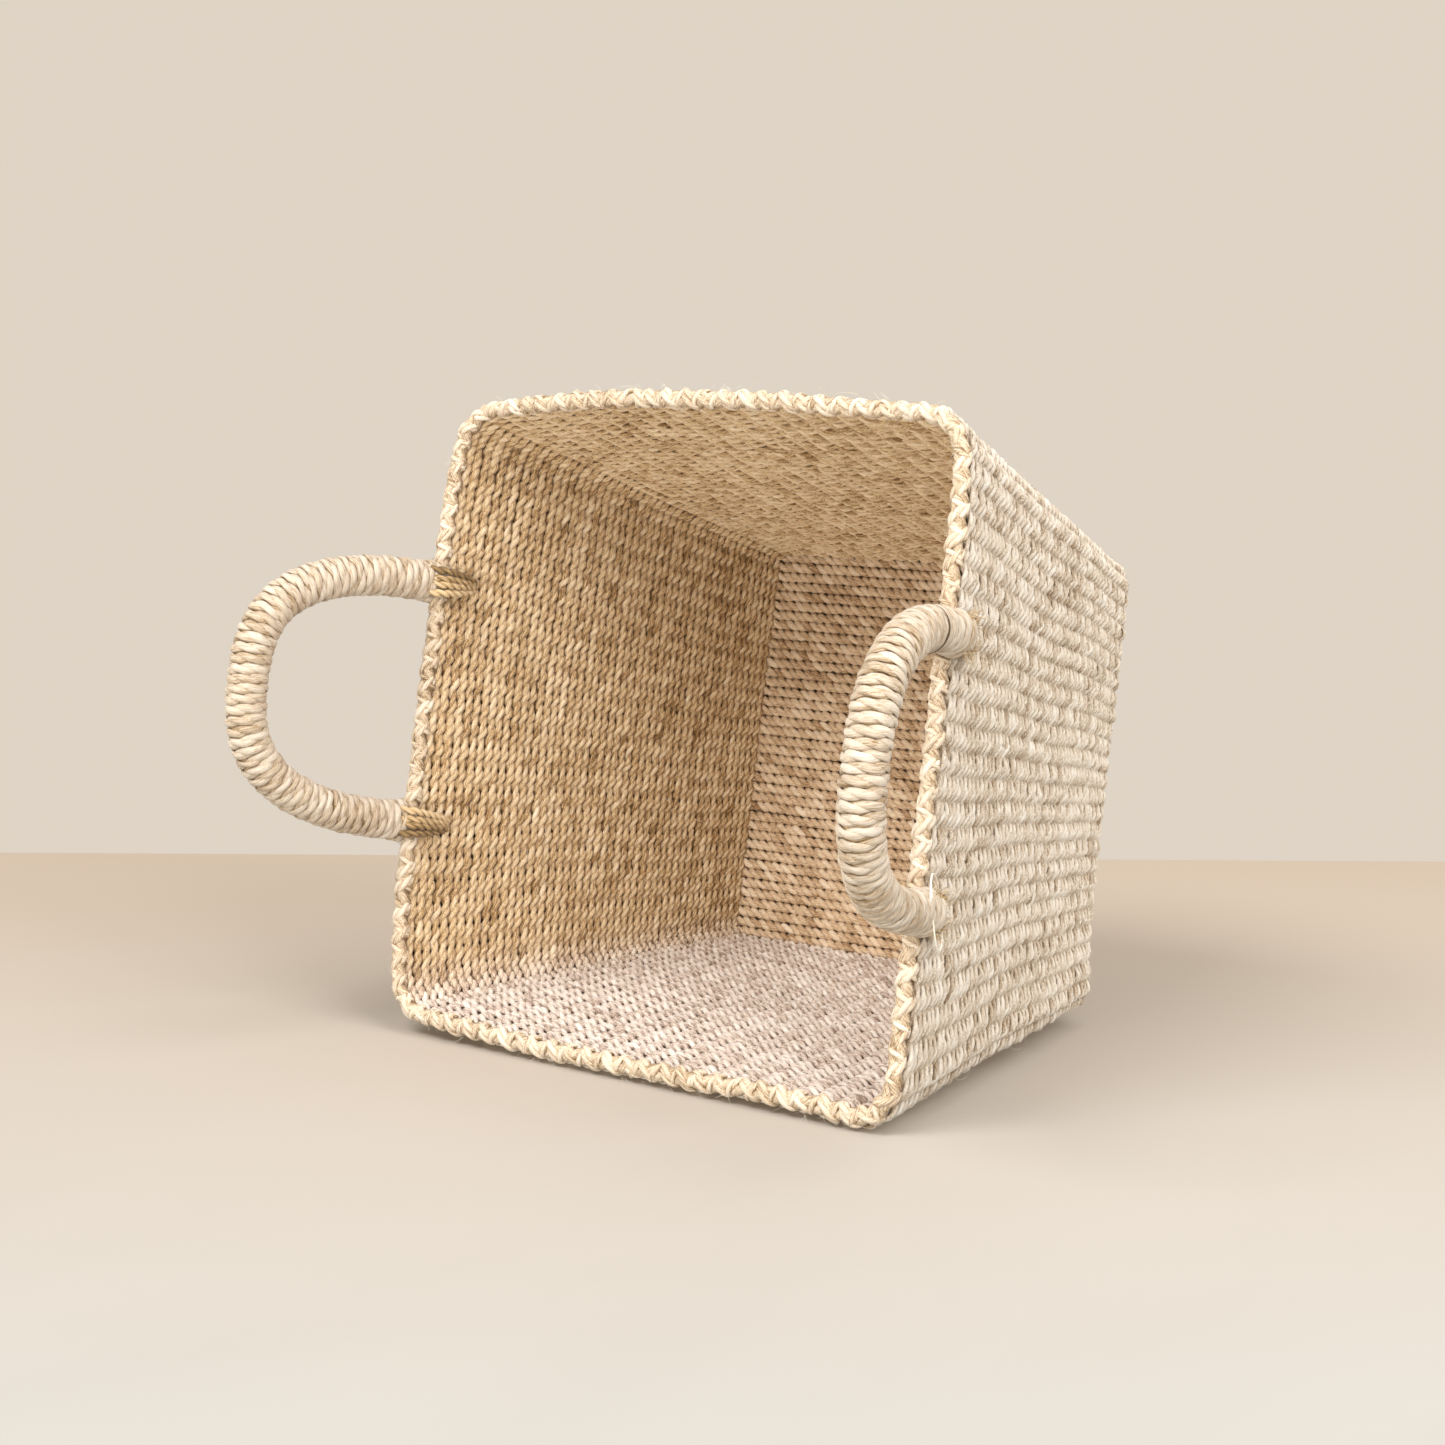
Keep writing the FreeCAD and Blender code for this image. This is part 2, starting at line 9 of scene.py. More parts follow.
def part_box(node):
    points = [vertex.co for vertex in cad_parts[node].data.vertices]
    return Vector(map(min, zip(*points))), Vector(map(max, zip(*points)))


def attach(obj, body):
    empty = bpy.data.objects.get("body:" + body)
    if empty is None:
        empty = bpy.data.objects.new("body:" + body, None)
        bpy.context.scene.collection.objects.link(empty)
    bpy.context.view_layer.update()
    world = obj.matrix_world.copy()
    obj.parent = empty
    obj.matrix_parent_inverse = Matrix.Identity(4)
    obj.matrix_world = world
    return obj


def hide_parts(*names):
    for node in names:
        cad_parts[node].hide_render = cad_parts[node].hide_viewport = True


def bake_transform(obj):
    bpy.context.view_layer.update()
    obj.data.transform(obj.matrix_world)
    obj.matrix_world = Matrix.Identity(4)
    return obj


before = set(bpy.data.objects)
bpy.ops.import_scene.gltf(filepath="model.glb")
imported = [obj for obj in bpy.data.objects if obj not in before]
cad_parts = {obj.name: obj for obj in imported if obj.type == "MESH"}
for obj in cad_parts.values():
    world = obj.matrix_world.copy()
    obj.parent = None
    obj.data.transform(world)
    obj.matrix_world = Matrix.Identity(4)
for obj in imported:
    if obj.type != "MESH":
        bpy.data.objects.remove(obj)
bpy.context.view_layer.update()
rng = np.random.default_rng(7)
MM = 0.001
TAU = 2 * math.pi

# ---------------------------------------------------------------- sizes, from the CAD nodes
base_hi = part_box("base_inner_weft")[1]
wall_lo, wall_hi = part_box("back_wall_outer_weft")
foot_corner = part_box("back_corner_weft")
rim_lo, rim_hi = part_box("back_rim_braid")
HALF_FOOT, HALF_TOP, HALF_RIM = base_hi.x, wall_hi.y, rim_hi.y
FOOT, TOP, RIM_TOP = wall_lo.z, wall_hi.z, rim_hi.z
WALL = base_hi.z
RADIUS_FOOT = HALF_FOOT - foot_corner[0].x
RADIUS_TOP = HALF_TOP - wall_hi.x
LEAN = math.atan((HALF_TOP - HALF_FOOT) / (TOP - FOOT))
COS, SIN = math.cos(LEAN), math.sin(LEAN)
RIM_MIDDLE = (rim_hi.y + rim_lo.y) / 2
RIM_LEVEL = (rim_hi.z + rim_lo.z) / 2

SIDES = ["back", "left", "front", "right"]
STAKES = 26                 # stake ridges on each side, with two stitches of weft on each
PAINTED_LIGHT_BLEND = 0.3          # width of the change to the paler palette of painted light at a corner, against half the bin's width

# How the soft walls give, against the straight CAD walls. The bin lies on the +Y wall, whose -X corner is
# folded sharp.
BOW_PLUS_X, BOW_MINUS_X = 4.0 * MM, 2.5 * MM
BOW_PLUS_Y, BOW_MINUS_Y = 8.8 * MM, 5.6 * MM
BOW_RISE = 1.5              # how late the bow grows on its way up the wall
FLAT_PLUS_Y, FLAT_MINUS_Y = 0.25, 0.85      # how much of the bow is lost toward the corners
PULL_BACK_LEFT, PULL_BACK_RIGHT = -4.0 * MM, 3.0 * MM       # corners pulled in, or pushed out if negative
PULL_FRONT_LEFT, PULL_FRONT_RIGHT = 3.0 * MM, 6.0 * MM
PULL_FOLD_FOOT = -7.0 * MM
PULL_RISE = 0.8
CORNER_POWER = 4            # how near its corner or wall each change stays
RIPPLE, SECOND_RIPPLE = 0.7 * MM, 0.6
RIPPLES_X = (38, 51, 1, 27, 61, 2)          # two waves each: wave numbers per metre, and a phase
RIPPLES_Y = (41, 47, 4, 31, 58, 5)
ROUNDER_TOP, ROUNDER_FOOT = 3.0 * MM, 1.0 * MM
FOOT_EDGE, FOOT_EDGE_DEPTH = 6 * MM, 0.6    # the rounded edge between the walls and the base
PROBE = 0.2 * MM            # step for finding a surface's directions
HIDDEN_END = 0.6            # size of a strand's last point, which is hidden in the next side


def ripple(across, z, waves):
    """Two crossed waves over a pair of walls."""
    a, b, c, d, e, f = waves
    return np.sin(a * across + b * z + c) + SECOND_RIPPLE * np.sin(d * z - e * across + f)


def soften(p):
    """Moves points of the stiff CAD shape to where the soft basket has them."""
    x, y, z = p[..., 0], p[..., 1], p[..., 2]
    up = np.clip(z / RIM_TOP, 0, 1)
    half = HALF_FOOT + (HALF_RIM - HALF_FOOT) * up
    u, w = np.clip(x / half, -1, 1), np.clip(y / half, -1, 1)
    pull_rim = np.where(y > 0, np.where(x > 0, PULL_BACK_RIGHT, PULL_BACK_LEFT),
                        np.where(x > 0, PULL_FRONT_RIGHT, PULL_FRONT_LEFT))
    pull_foot = np.where((y > 0) & (x < 0), PULL_FOLD_FOOT, 0.0)
    pull = (pull_foot + (pull_rim - pull_foot) * up ** PULL_RISE) * (u * w) ** CORNER_POWER
    bow_x = np.where(x > 0, BOW_PLUS_X, BOW_MINUS_X) * up ** BOW_RISE * (1 - w * w)
    bow_y = np.where(y > 0, BOW_PLUS_Y * (1 - FLAT_PLUS_Y * u * u), BOW_MINUS_Y * (1 - FLAT_MINUS_Y * u * u))
    bow_y = bow_y * up ** BOW_RISE
    dx = u * (u ** CORNER_POWER * (bow_x + RIPPLE * up * ripple(y, z, RIPPLES_X)) - pull)
    dy = w * (w ** CORNER_POWER * (bow_y + RIPPLE * up * ripple(x, z, RIPPLES_Y)) - pull)
    return np.stack([x + dx, y + dy, z], -1)


def plan(g, half, radius):
    """Points of a rounded square and its outward normals.

    g counts the walls, anticlockwise from the middle of the +Y wall.
    """
    g, half, radius = np.broadcast_arrays(g, half, radius)
    side = np.floor(g + 0.5)
    s = g - side
    straight = half - radius
    arc = np.abs(s) * (2 * straight + math.pi / 2 * radius)
    turn = np.clip((arc - straight) / radius, 0, math.pi / 4)
    flip = np.where(s > 0, -1.0, 1.0)
    x = flip * (np.minimum(arc, straight) + radius * np.sin(turn))
    y = straight + radius * np.cos(turn)
    nx, ny = flip * np.sin(turn), np.cos(turn)
    c, q = np.cos(side * math.pi / 2), np.sin(side * math.pi / 2)
    return (x * c - y * q, x * q + y * c), (nx * c - ny * q, nx * q + ny * c)


def shell(g, z, out):
    """Points of the wall at height z, out metres outside its outer face."""
    g, z, out = np.broadcast_arrays(g, z, out)
    up = np.clip((z - FOOT) / (TOP - FOOT), 0, 1)
    half = HALF_FOOT + (HALF_TOP - HALF_FOOT) * up
    edge = np.clip(FOOT_EDGE - z, 0, FOOT_EDGE)
    half = half - (FOOT_EDGE - np.sqrt(np.maximum(FOOT_EDGE ** 2 - edge ** 2, 0))) * FOOT_EDGE_DEPTH
    radius = RADIUS_FOOT + ROUNDER_FOOT + (RADIUS_TOP + ROUNDER_TOP - RADIUS_FOOT - ROUNDER_FOOT) * up
    (x, y), (nx, ny) = plan(g, half, radius)
    return soften(np.stack([x + out * COS * nx, y + out * COS * ny, z - out * SIN], -1))


def rim_point(g, across, up):
    """Points of the rim, across its middle line and above its middle height."""
    g, across, up = np.broadcast_arrays(g, across, up)
    radius = RADIUS_TOP + ROUNDER_TOP - WALL / 2
    (x, y), (nx, ny) = plan(g, RIM_MIDDLE, radius)
    return soften(np.stack([x + across * nx, y + across * ny, RIM_LEVEL + up], -1))


def unit(v):
    """Vectors made one metre long."""
    return v / np.maximum(np.linalg.norm(v, axis=-1, keepdims=True), 1e-12)


def wave(x, period, seed):
    """A smooth curve through seeded values that repeats every period."""
    r = np.random.default_rng(seed)
    total = 0
    for k in (1, 2, 3, 5, 8, 13):
        total = total + r.uniform(0.4, 1) / k ** 0.4 * np.sin(TAU * (k * x / period + r.random()))
    return total / 2


def painted_light_share(p):
    """1 on the +Y wall, whose inside is paler as painted light, since it faces up when the bin lies on it,
    and 0 past its corners.
    """
    half = HALF_FOOT + (HALF_RIM - HALF_FOOT) * np.clip(p[..., 2] / RIM_TOP, 0, 1)
    t = np.clip(0.5 + (p[..., 1] - np.abs(p[..., 0])) / half / PAINTED_LIGHT_BLEND, 0, 1)
    return t * t * (3 - 2 * t)


# ---------------------------------------------------------------- tubes
class Strands:
    """Many tubes gathered into one closed mesh, with the fibre's own coordinates on its points."""

    def __init__(self):
        self.points, self.fibre, self.tone, self.loops, self.counts = [], [], [], [], []
        self.size = 0

    def add(self, centre, across, radius_c, radius_b, around=6, tone=0.5, lay=0.25, crease_shade=0.0):
        """Adds n tubes.

        centre (n, k, 3) are their lines. A section is radius_c thick along across (n, k, 3), and radius_b
        beside it.
        lay turns the fibre along the tube, and crease_shade is painted shade on the side that faces away from
        across.
        """
        n, k = centre.shape[:2]
        step = np.gradient(centre, axis=1)
        tangent = unit(step)
        a = unit(across - (across * tangent).sum(-1, keepdims=True) * tangent)
        b = np.cross(tangent, a)
        phi = np.arange(around) * TAU / around
        rc = np.broadcast_to(radius_c, (n, k))[..., None, None]
        rb = np.broadcast_to(radius_b, (n, k))[..., None, None]
        ring = rc * np.cos(phi)[:, None] * a[:, :, None, :] + rb * np.sin(phi)[:, None] * b[:, :, None, :]
        points = centre[:, :, None, :] + ring
        along = np.cumsum(np.linalg.norm(step, axis=-1), 1) / MM
        angle = phi + lay * along[..., None]
        spot = np.broadcast_to(rb[..., 0] / MM, (n, k, around))
        start = rng.uniform(0, 400, (n, 1, 1))
        fibre = np.stack([np.broadcast_to(along[..., None], spot.shape) + start, spot * np.cos(angle),
                          spot * np.sin(angle) + 7 * start], -1)
        index = self.size + np.arange(n * k * around).reshape(n, k, around)
        here, beside = index, np.roll(index, -1, 2)
        quads = np.stack([here[:, :-1], beside[:, :-1], beside[:, 1:], here[:, 1:]], -1).reshape(-1, 4)
        caps = np.concatenate([index[:, 0, ::-1], index[:, -1]]).reshape(-1, around)
        self.points.append(points.reshape(-1, 3))
        self.fibre.append(fibre.reshape(-1, 3))
        # painted shade on the side of the tube that faces away from across
        tone = np.broadcast_to(tone, (n, k))[..., None] - crease_shade * (1 - np.cos(phi)) / 2
        self.tone.append(tone.reshape(-1))
        self.loops += [quads.reshape(-1), caps.reshape(-1)]
        self.counts += [np.full(len(quads), 4), np.full(len(caps), around)]
        self.size += n * k * around

    def mesh(self, name, material):
        data = bpy.data.meshes.new(name)
        points, loops, counts = (np.concatenate(v) for v in (self.points, self.loops, self.counts))
        data.vertices.add(len(points))
        data.vertices.foreach_set("co", points.astype(np.float32).reshape(-1))
        data.loops.add(len(loops))
        data.loops.foreach_set("vertex_index", loops.astype(np.int32))
        data.polygons.add(len(counts))
        data.polygons.foreach_set("loop_start", (np.cumsum(counts) - counts).astype(np.int32))
        data.polygons.foreach_set("use_smooth", np.ones(len(counts), bool))
        data.update(calc_edges=True)
        data.attributes.new("fibre", "FLOAT_VECTOR", "POINT").data.foreach_set(
            "vector", np.concatenate(self.fibre).astype(np.float32).reshape(-1))
        data.attributes.new("tone", "FLOAT", "POINT").data.foreach_set(
            "value", np.concatenate(self.tone).astype(np.float32))
        data.attributes.new("painted_light_share", "FLOAT", "POINT").data.foreach_set(
            "value", painted_light_share(points).astype(np.float32))
        data.validate()
        data.materials.append(material)
        piece = bpy.data.objects.new(name, data)
        bpy.context.scene.collection.objects.link(piece)
        return piece


def frames(function, g, z, out):
    """Centre, up and outward directions of a surface along its lines."""
    centre = function(g, z, out)
    up = unit(function(g, z + PROBE, out) - function(g, z - PROBE, out))
    outward = unit(function(g, z, out + PROBE) - function(g, z, out - PROBE))
    return centre, up, outward


def twist(strands, centre, up, outward, theta, swing_b, swing_c, ply_b, ply_c, tone=0.5, around=6, plies=2,
          lay=0.25, crease_shade=0.3, behind_shade=0.22):
    """Plies that turn round each centre line, right-handed, theta radians along it.

    swing_b and ply_b are a ply's way from the line and half width along up, swing_c and ply_c along outward.
    behind_shade is painted shade: it darkens a ply where it passes behind.
    """
    for ply in range(plies):
        angle = theta + ply * TAU / plies
        line = centre + up * (swing_b * np.cos(angle))[..., None]
        line = line + outward * (swing_c * np.sin(angle))[..., None]
        # painted shade where a ply passes behind
        shade = (tone(angle, ply) if callable(tone) else tone) - behind_shade * ((1 - np.sin(angle)) / 2) ** 2
        strands.add(line, outward, ply_c, ply_b, around, shade, lay, crease_shade)


# ---------------------------------------------------------------- materials
FIBRE_ACROSS, FIBRE_ALONG = 2.6, 0.12       # streaks per millimetre across a strand and along it
DRIFT_ACROSS, DRIFT_ALONG = 0.35, 0.05      # slower changes along a strand
PATCHES_PER_METRE = 22.0
DARK_AT, MIDDLE_AT = 0.26, 0.52             # where the palette's colours sit on the scale of tones
DEEP_SHADE = 0.4                            # the deepest shade, against the dark colour


def srgb(text):
    """A colour written as hex digits, in linear light."""
    parts = [int(text[i:i + 2], 16) / 255 for i in (0, 2, 4)]
    return [p / 12.92 if p <= 0.04045 else ((p + 0.055) / 1.055) ** 2.4 for p in parts] + [1]


def fibre_material(name, dark, middle, pale, streak=0.35, bump=0.6, fine=1.0, painted_light_palette=None):
    """Combed plant fibre: a tone for each stitch, streaks along the strand, and patches over the piece.

    streak and bump set how strong the streaks are, and fine how narrow. painted_light_palette is the +Y
    wall's paler palette, painted light.
    """
    material = bpy.data.materials.new(name)
    material.use_nodes = True
    tree = material.node_tree
    nodes, links = tree.nodes, tree.links
    nodes.clear()

    def node(kind, **values):
        made = nodes.new(kind)
        for key, value in values.items():
            if key.startswith("in_"):
                made.inputs[int(key[3:])].default_value = value
            else:
                setattr(made, key, value)
        return made

    def math_node(operation, a, b):
        made = node("ShaderNodeMath", operation=operation)
        for socket, value in zip(made.inputs, (a, b)):
            if isinstance(value, (int, float)):
                socket.default_value = value
            else:
                links.new(value, socket)
        return made.outputs[0]

    def noise(vector, scale, detail=2.0, roughness=0.5):
        made = node("ShaderNodeTexNoise")
        for key, value in (("Scale", scale), ("Detail", detail), ("Roughness", roughness)):
            made.inputs[key].default_value = value
        links.new(vector, made.inputs["Vector"])
        return made.outputs["Fac"]

    def stretched(vector, along, across):
        made = node("ShaderNodeVectorMath", operation="MULTIPLY")
        links.new(vector, made.inputs[0])
        made.inputs[1].default_value = (along, across, across)
        return made.outputs[0]

    def varied(level, value, strength):
        return math_node("ADD", level, math_node("MULTIPLY", math_node("SUBTRACT", value, 0.5), strength))

    fibre = node("ShaderNodeAttribute", attribute_name="fibre").outputs["Vector"]
    tone = node("ShaderNodeAttribute", attribute_name="tone").outputs["Fac"]
    place = node("ShaderNodeTexCoord").outputs["Object"]
    streaks = noise(stretched(fibre, FIBRE_ALONG * fine, FIBRE_ACROSS * fine), 1.0, 3.0, 0.6)
    drift = noise(stretched(fibre, DRIFT_ALONG, DRIFT_ACROSS), 1.0)
    level = varied(tone, streaks, streak * 2.2)
    level = varied(level, drift, 0.3)
    level = varied(level, noise(place, PATCHES_PER_METRE), 0.2)

    def palette(dark, middle, pale):
        ramp = node("ShaderNodeValToRGB")
        deep = [DEEP_SHADE * c for c in srgb(dark)[:3]] + [1]
        ramp.color_ramp.elements[0].position, ramp.color_ramp.elements[0].color = 0.0, deep
        ramp.color_ramp.elements[1].position, ramp.color_ramp.elements[1].color = 1.0, srgb(pale)
        ramp.color_ramp.elements.new(DARK_AT).color = srgb(dark)
        ramp.color_ramp.elements.new(MIDDLE_AT).color = srgb(middle)
        links.new(level, ramp.inputs["Fac"])
        return ramp.outputs["Color"]

    colour = palette(dark, middle, pale)
    # the +Y wall's paler palette, mixed in as painted light
    if painted_light_palette:
        share = node("ShaderNodeAttribute", attribute_name="painted_light_share")
        mix = node("ShaderNodeMix", data_type="RGBA")
        links.new(share.outputs["Fac"], mix.inputs[0])
        links.new(colour, mix.inputs[6])
        links.new(palette(*painted_light_palette), mix.inputs[7])
        colour = mix.outputs[2]
    dents = node("ShaderNodeBump")
    dents.inputs["Strength"].default_value = bump
    dents.inputs["Distance"].default_value = 0.4 * MM
    links.new(streaks, dents.inputs["Height"])
    shader = node("ShaderNodeBsdfPrincipled")
    for key, value in (("Roughness", 0.82), ("Specular IOR Level", 0.25), ("Sheen Weight", 0.2),
                       ("Sheen Roughness", 0.5)):
        shader.inputs[key].default_value = value
    links.new(colour, shader.inputs["Base Color"])
    links.new(dents.outputs["Normal"], shader.inputs["Normal"])
    output = node("ShaderNodeOutputMaterial")
    links.new(shader.outputs[0], output.inputs["Surface"])
    return material


# The inside palettes of the walls and base are darker, more tan copies of the outside one: painted shade
# inside the bin.
OUTER = fibre_material("outer_weft", "B29168", "F0E2CE", "FEF8EE", streak=1.4, bump=1.2, fine=1.2)
INNER = fibre_material("inner_weft", "9E784A", "D6B98F", "F4E2C6", streak=0.95,
                       painted_light_palette=("AA907E", "E3D4C8", "F8F2EC"))
BASE = fibre_material("base_weft", "98744E", "D0B493", "F1E1CA", streak=0.7)
# The stakes are coloured darker than the weft, as painted shade in the pits between the strands.
SHADED_STAKE = fibre_material("stake", "6E5538", "9C8058", "C2A67C", bump=0.2)
RIM = fibre_material("rim", "A08360", "DAC6AB", "F3E8DA", streak=0.85, bump=0.8)
WRAP = fibre_material("wrap", "94774F", "C1AF98", "DFD5C7", fine=1.3, streak=0.85)
CORD = fibre_material("cord", "8C7049", "CCB086", "EBD9BA")
LOOSE = fibre_material("loose", "D8C8A8", "EFE4CE", "FBF6EC", streak=0.3)
# a near-black material for spots of painted shade
PAINTED_SHADE = fibre_material("painted_shade_spot", "1E140B", "2E2012", "44311D", streak=0.2, bump=0.1)


def settle(piece, nodes=(), body="basket"):
    """Gives a piece its place in the frame."""
    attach(piece, body)
    if nodes:
        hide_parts(*nodes)


# ---------------------------------------------------------------- walls
RINGS = 7                                   # points of a strand for each stake
OUTER_COURSES, INNER_COURSES = 49, 47
OUTER_LOW, INNER_LOW = 0.6 * MM, FOOT - 1.6 * MM
WEAVE_TOP = TOP + 2.2 * MM
WEAVE_DEPTH = 1.45 * MM                     # from a face of the wall to the middle of its weft
RIDGE_OUTSIDE, RIDGE_INSIDE = 0.75 * MM, 0.6 * MM
OUTER_VALLEY_SHADE = 0.15                         # painted shade: how much darker the weft is between the ridges outside
STITCH_TONE, LINE_TONE = 0.62, 0.03         # the tone of a stitch, and how the rounds differ
COURSE_CLOSENESS = 0.1
# The plies of the weft: swing and half width along the wall in round pitches, and through it in metres.
OUTER_SWING, OUTER_SWING_OUT, OUTER_PLY, OUTER_PLY_OUT = 0.21, 0.5 * MM, 0.47, 1.0 * MM
INNER_SWING, INNER_SWING_OUT, INNER_PLY, INNER_PLY_OUT = 0.245, 0.62 * MM, 0.35, 1.1 * MM
STAKE_THICK, STAKE_SHARE = 1.25 * MM, 0.41


def bead_noise(g, seed):
    """A value for each stitch of the whole round, blended from stitch to stitch."""
    table = np.random.default_rng(seed + 5000).normal(0, 1, 8 * STAKES)
    return np.interp(g * 2 * STAKES, np.arange(-8 * STAKES, 16 * STAKES), np.tile(table, 3))


def course_heights(count, low, high):
    """Heights of the rounds of weft, closer together near the base."""
    share = (np.arange(count) + 0.5) / count
    eased = (1 - COURSE_CLOSENESS) * share + COURSE_CLOSENESS * share ** 2
    return low + (high - low) * eased


def stitch_tones(rows, spread, seed):
    """A tone for each stitch, changed where the ply is hidden."""
    table = np.random.default_rng(seed).normal(STITCH_TONE, spread, (rows, 2, 4 * STAKES))
    lines = np.random.default_rng(seed + 1).normal(0, LINE_TONE, (rows, 1))

    def tone(angle, ply):
        stitch = np.floor((angle + math.pi / 2) / TAU).astype(int) % (4 * STAKES)
        return table[np.arange(rows)[:, None], ply, stitch] + lines
    return tone


def wall_weave(side, facing, count, low, high, out, tones):
    """One face of a wall: rounds of two-ply weft, from corner middle to corner middle."""
    strands = Strands()
    steps = STAKES * RINGS
    k = np.arange(-1, steps + 2)
    g = side - 0.5 + k / steps
    heights = course_heights(count, low, high)[:, None]
    pitch = np.gradient(heights[:, 0])[:, None]
    seed = 300 if facing > 0 else 700
    # wobble changes slowly along a round, bead from stitch to stitch; rolled rows give unrelated values.
    wobble = np.stack([wave(g, 4, seed + r) for r in range(count)])
    bead = np.stack([bead_noise(g, seed + r) for r in range(count)])
    wander = 0.5 * np.sin(31 * heights + TAU / 2 * g)
    wander = wander + 0.4 * np.sin(58 * heights - TAU / 4 * 3 * g + 2 * facing)
    phase = TAU * STAKES * g + wander
    theta = phase + 0.14 * wobble + 0.22 * np.roll(bead, 11, 0)
    ridge = np.cos(phase) * (RIDGE_OUTSIDE if facing > 0 else RIDGE_INSIDE) * facing * (1 + 0.25 * bead)
    z = heights + 0.2 * MM * np.roll(wobble, 7, 0) + 0.12 * MM * np.roll(bead, 4, 0)
    depth = out + ridge + (0.08 * np.roll(wobble, 3, 0) + 0.16 * bead) * MM
    centre, up, outward = frames(shell, g[None, :], z, depth)
    end = np.where((k < 0) | (k > steps), HIDDEN_END, 1.0)
    fat = (1 + 0.06 * np.roll(wobble, 5, 0) + 0.09 * np.roll(bead, 2, 0)) * end
    if facing > 0:
        # painted shade in the valleys between the ridges outside
        valley_shade = OUTER_VALLEY_SHADE * (0.5 - 0.5 * np.cos(phase)) ** 2 * (1 + 0.5 * np.roll(wobble, 9, 0))

        def shaded(angle, ply):
            return tones(angle, ply) - valley_shade
        twist(strands, centre, up, outward, theta, OUTER_SWING * pitch * np.ones_like(theta),
              OUTER_SWING_OUT * fat, OUTER_PLY * pitch * fat, OUTER_PLY_OUT * fat, shaded, 5,
              lay=0.7, crease_shade=0.22, behind_shade=0.12)
    else:
        twist(strands, centre, up, -outward, -theta, INNER_SWING * pitch * np.ones_like(theta),
              INNER_SWING_OUT * fat, INNER_PLY * pitch * fat, INNER_PLY_OUT * fat, tones, 5)
    return strands


outer_tones = stitch_tones(OUTER_COURSES, 0.12, 21)
inner_tones = stitch_tones(INNER_COURSES, 0.1, 31)
for side, name in enumerate(SIDES):
    strands = wall_weave(side, 1, OUTER_COURSES, OUTER_LOW, WEAVE_TOP, -WEAVE_DEPTH, outer_tones)
    piece = strands.mesh(f"{name}_weave_outside", OUTER)
    settle(piece, (f"{name}_wall_outer_weft", f"{name}_corner_weft"))
    strands = wall_weave(side, -1, INNER_COURSES, INNER_LOW, WEAVE_TOP, WEAVE_DEPTH - WALL * COS, inner_tones)
    piece = strands.mesh(f"{name}_weave_inside", INNER)
    settle(piece, (f"{name}_wall_inner_weft",))

    strands = Strands()
    g = (side - 0.5 + (np.arange(STAKES) + 0.5) / STAKES)[:, None]
    z = np.linspace(3 * MM, TOP + 2 * MM, 16)[None, :]
    centre, _, outward = frames(shell, g, z, -WALL * COS / 2)
    widths = STAKE_SHARE * (2 * HALF_FOOT + (2 * HALF_TOP - 2 * HALF_FOOT) * z / TOP) / STAKES
    strands.add(centre, outward, STAKE_THICK, widths, 8, rng.normal(0.4, 0.12, (STAKES, 1)))
    piece = strands.mesh(f"{name}_stakes_in_weave", SHADED_STAKE)
    settle(piece, (f"{name}_wall_stakes",))

# ---------------------------------------------------------------- base
BASE_ROW, BASE_TURN = 4.9 * MM, 9.8 * MM
BASE_RIDGE = 0.4 * MM
BASE_SWING, BASE_SWING_OUT, BASE_PLY, BASE_PLY_OUT = 0.245, 0.68 * MM, 0.35, 1.1 * MM
BASE_STITCHES, BASE_FATNESSES = 60, 40      # values drawn for each row
BASE_STAKES, BASE_STAKE_POINTS = 20, 12
BASE_STAKE_THICK, BASE_STAKE_WIDE = 1.2 * MM, 4.3 * MM


def base_weave(name, level, facing, reach, nodes, material, seed):
    """One face of the base: rows of weft along X."""
    strands = Strands()
    rows = int(2 * reach / BASE_ROW)
    r = np.random.default_rng(seed)
    for row in range(rows):
        y = (row - (rows - 1) / 2) * BASE_ROW
        beyond = max(abs(y) - (reach - RADIUS_FOOT), 0)
        half = reach - RADIUS_FOOT + math.sqrt(max(RADIUS_FOOT ** 2 - beyond ** 2, 0))
        count = int(2 * half / BASE_TURN * RINGS)
        x = np.linspace(-half, half, count)
        bend = wave(x + row * 0.07, 0.6, seed + row)
        line = np.stack([x, y + 0.3 * MM * bend, level + 0.2 * MM * np.roll(bend, 9)], -1)[None]
        up = np.broadcast_to([0.0, 1.0, 0.0], line.shape)
        outward = np.broadcast_to([0.0, 0.0, 1.0], line.shape)
        theta = (TAU * x / BASE_TURN + 0.4 * bend + r.normal(0, 0.3))[None] * facing
        line[..., 2] += facing * BASE_RIDGE * np.cos(TAU * x / BASE_TURN)
        line = soften(line)
        fat = np.interp(x, np.linspace(-half, half, BASE_FATNESSES), r.normal(1, 0.08, BASE_FATNESSES))[None]
        table = r.normal(0.6, 0.1, (2, BASE_STITCHES))

        def tone(angle, ply):
            stitch = np.floor((angle + math.pi / 2) / TAU).astype(int) % BASE_STITCHES
            return table[ply, stitch]
        twist(strands, line, up, outward * facing, theta, BASE_SWING * BASE_ROW * np.ones_like(theta),
              BASE_SWING_OUT * fat, BASE_PLY * BASE_ROW * fat, BASE_PLY_OUT * fat, tone)
    settle(strands.mesh(name, material), nodes)


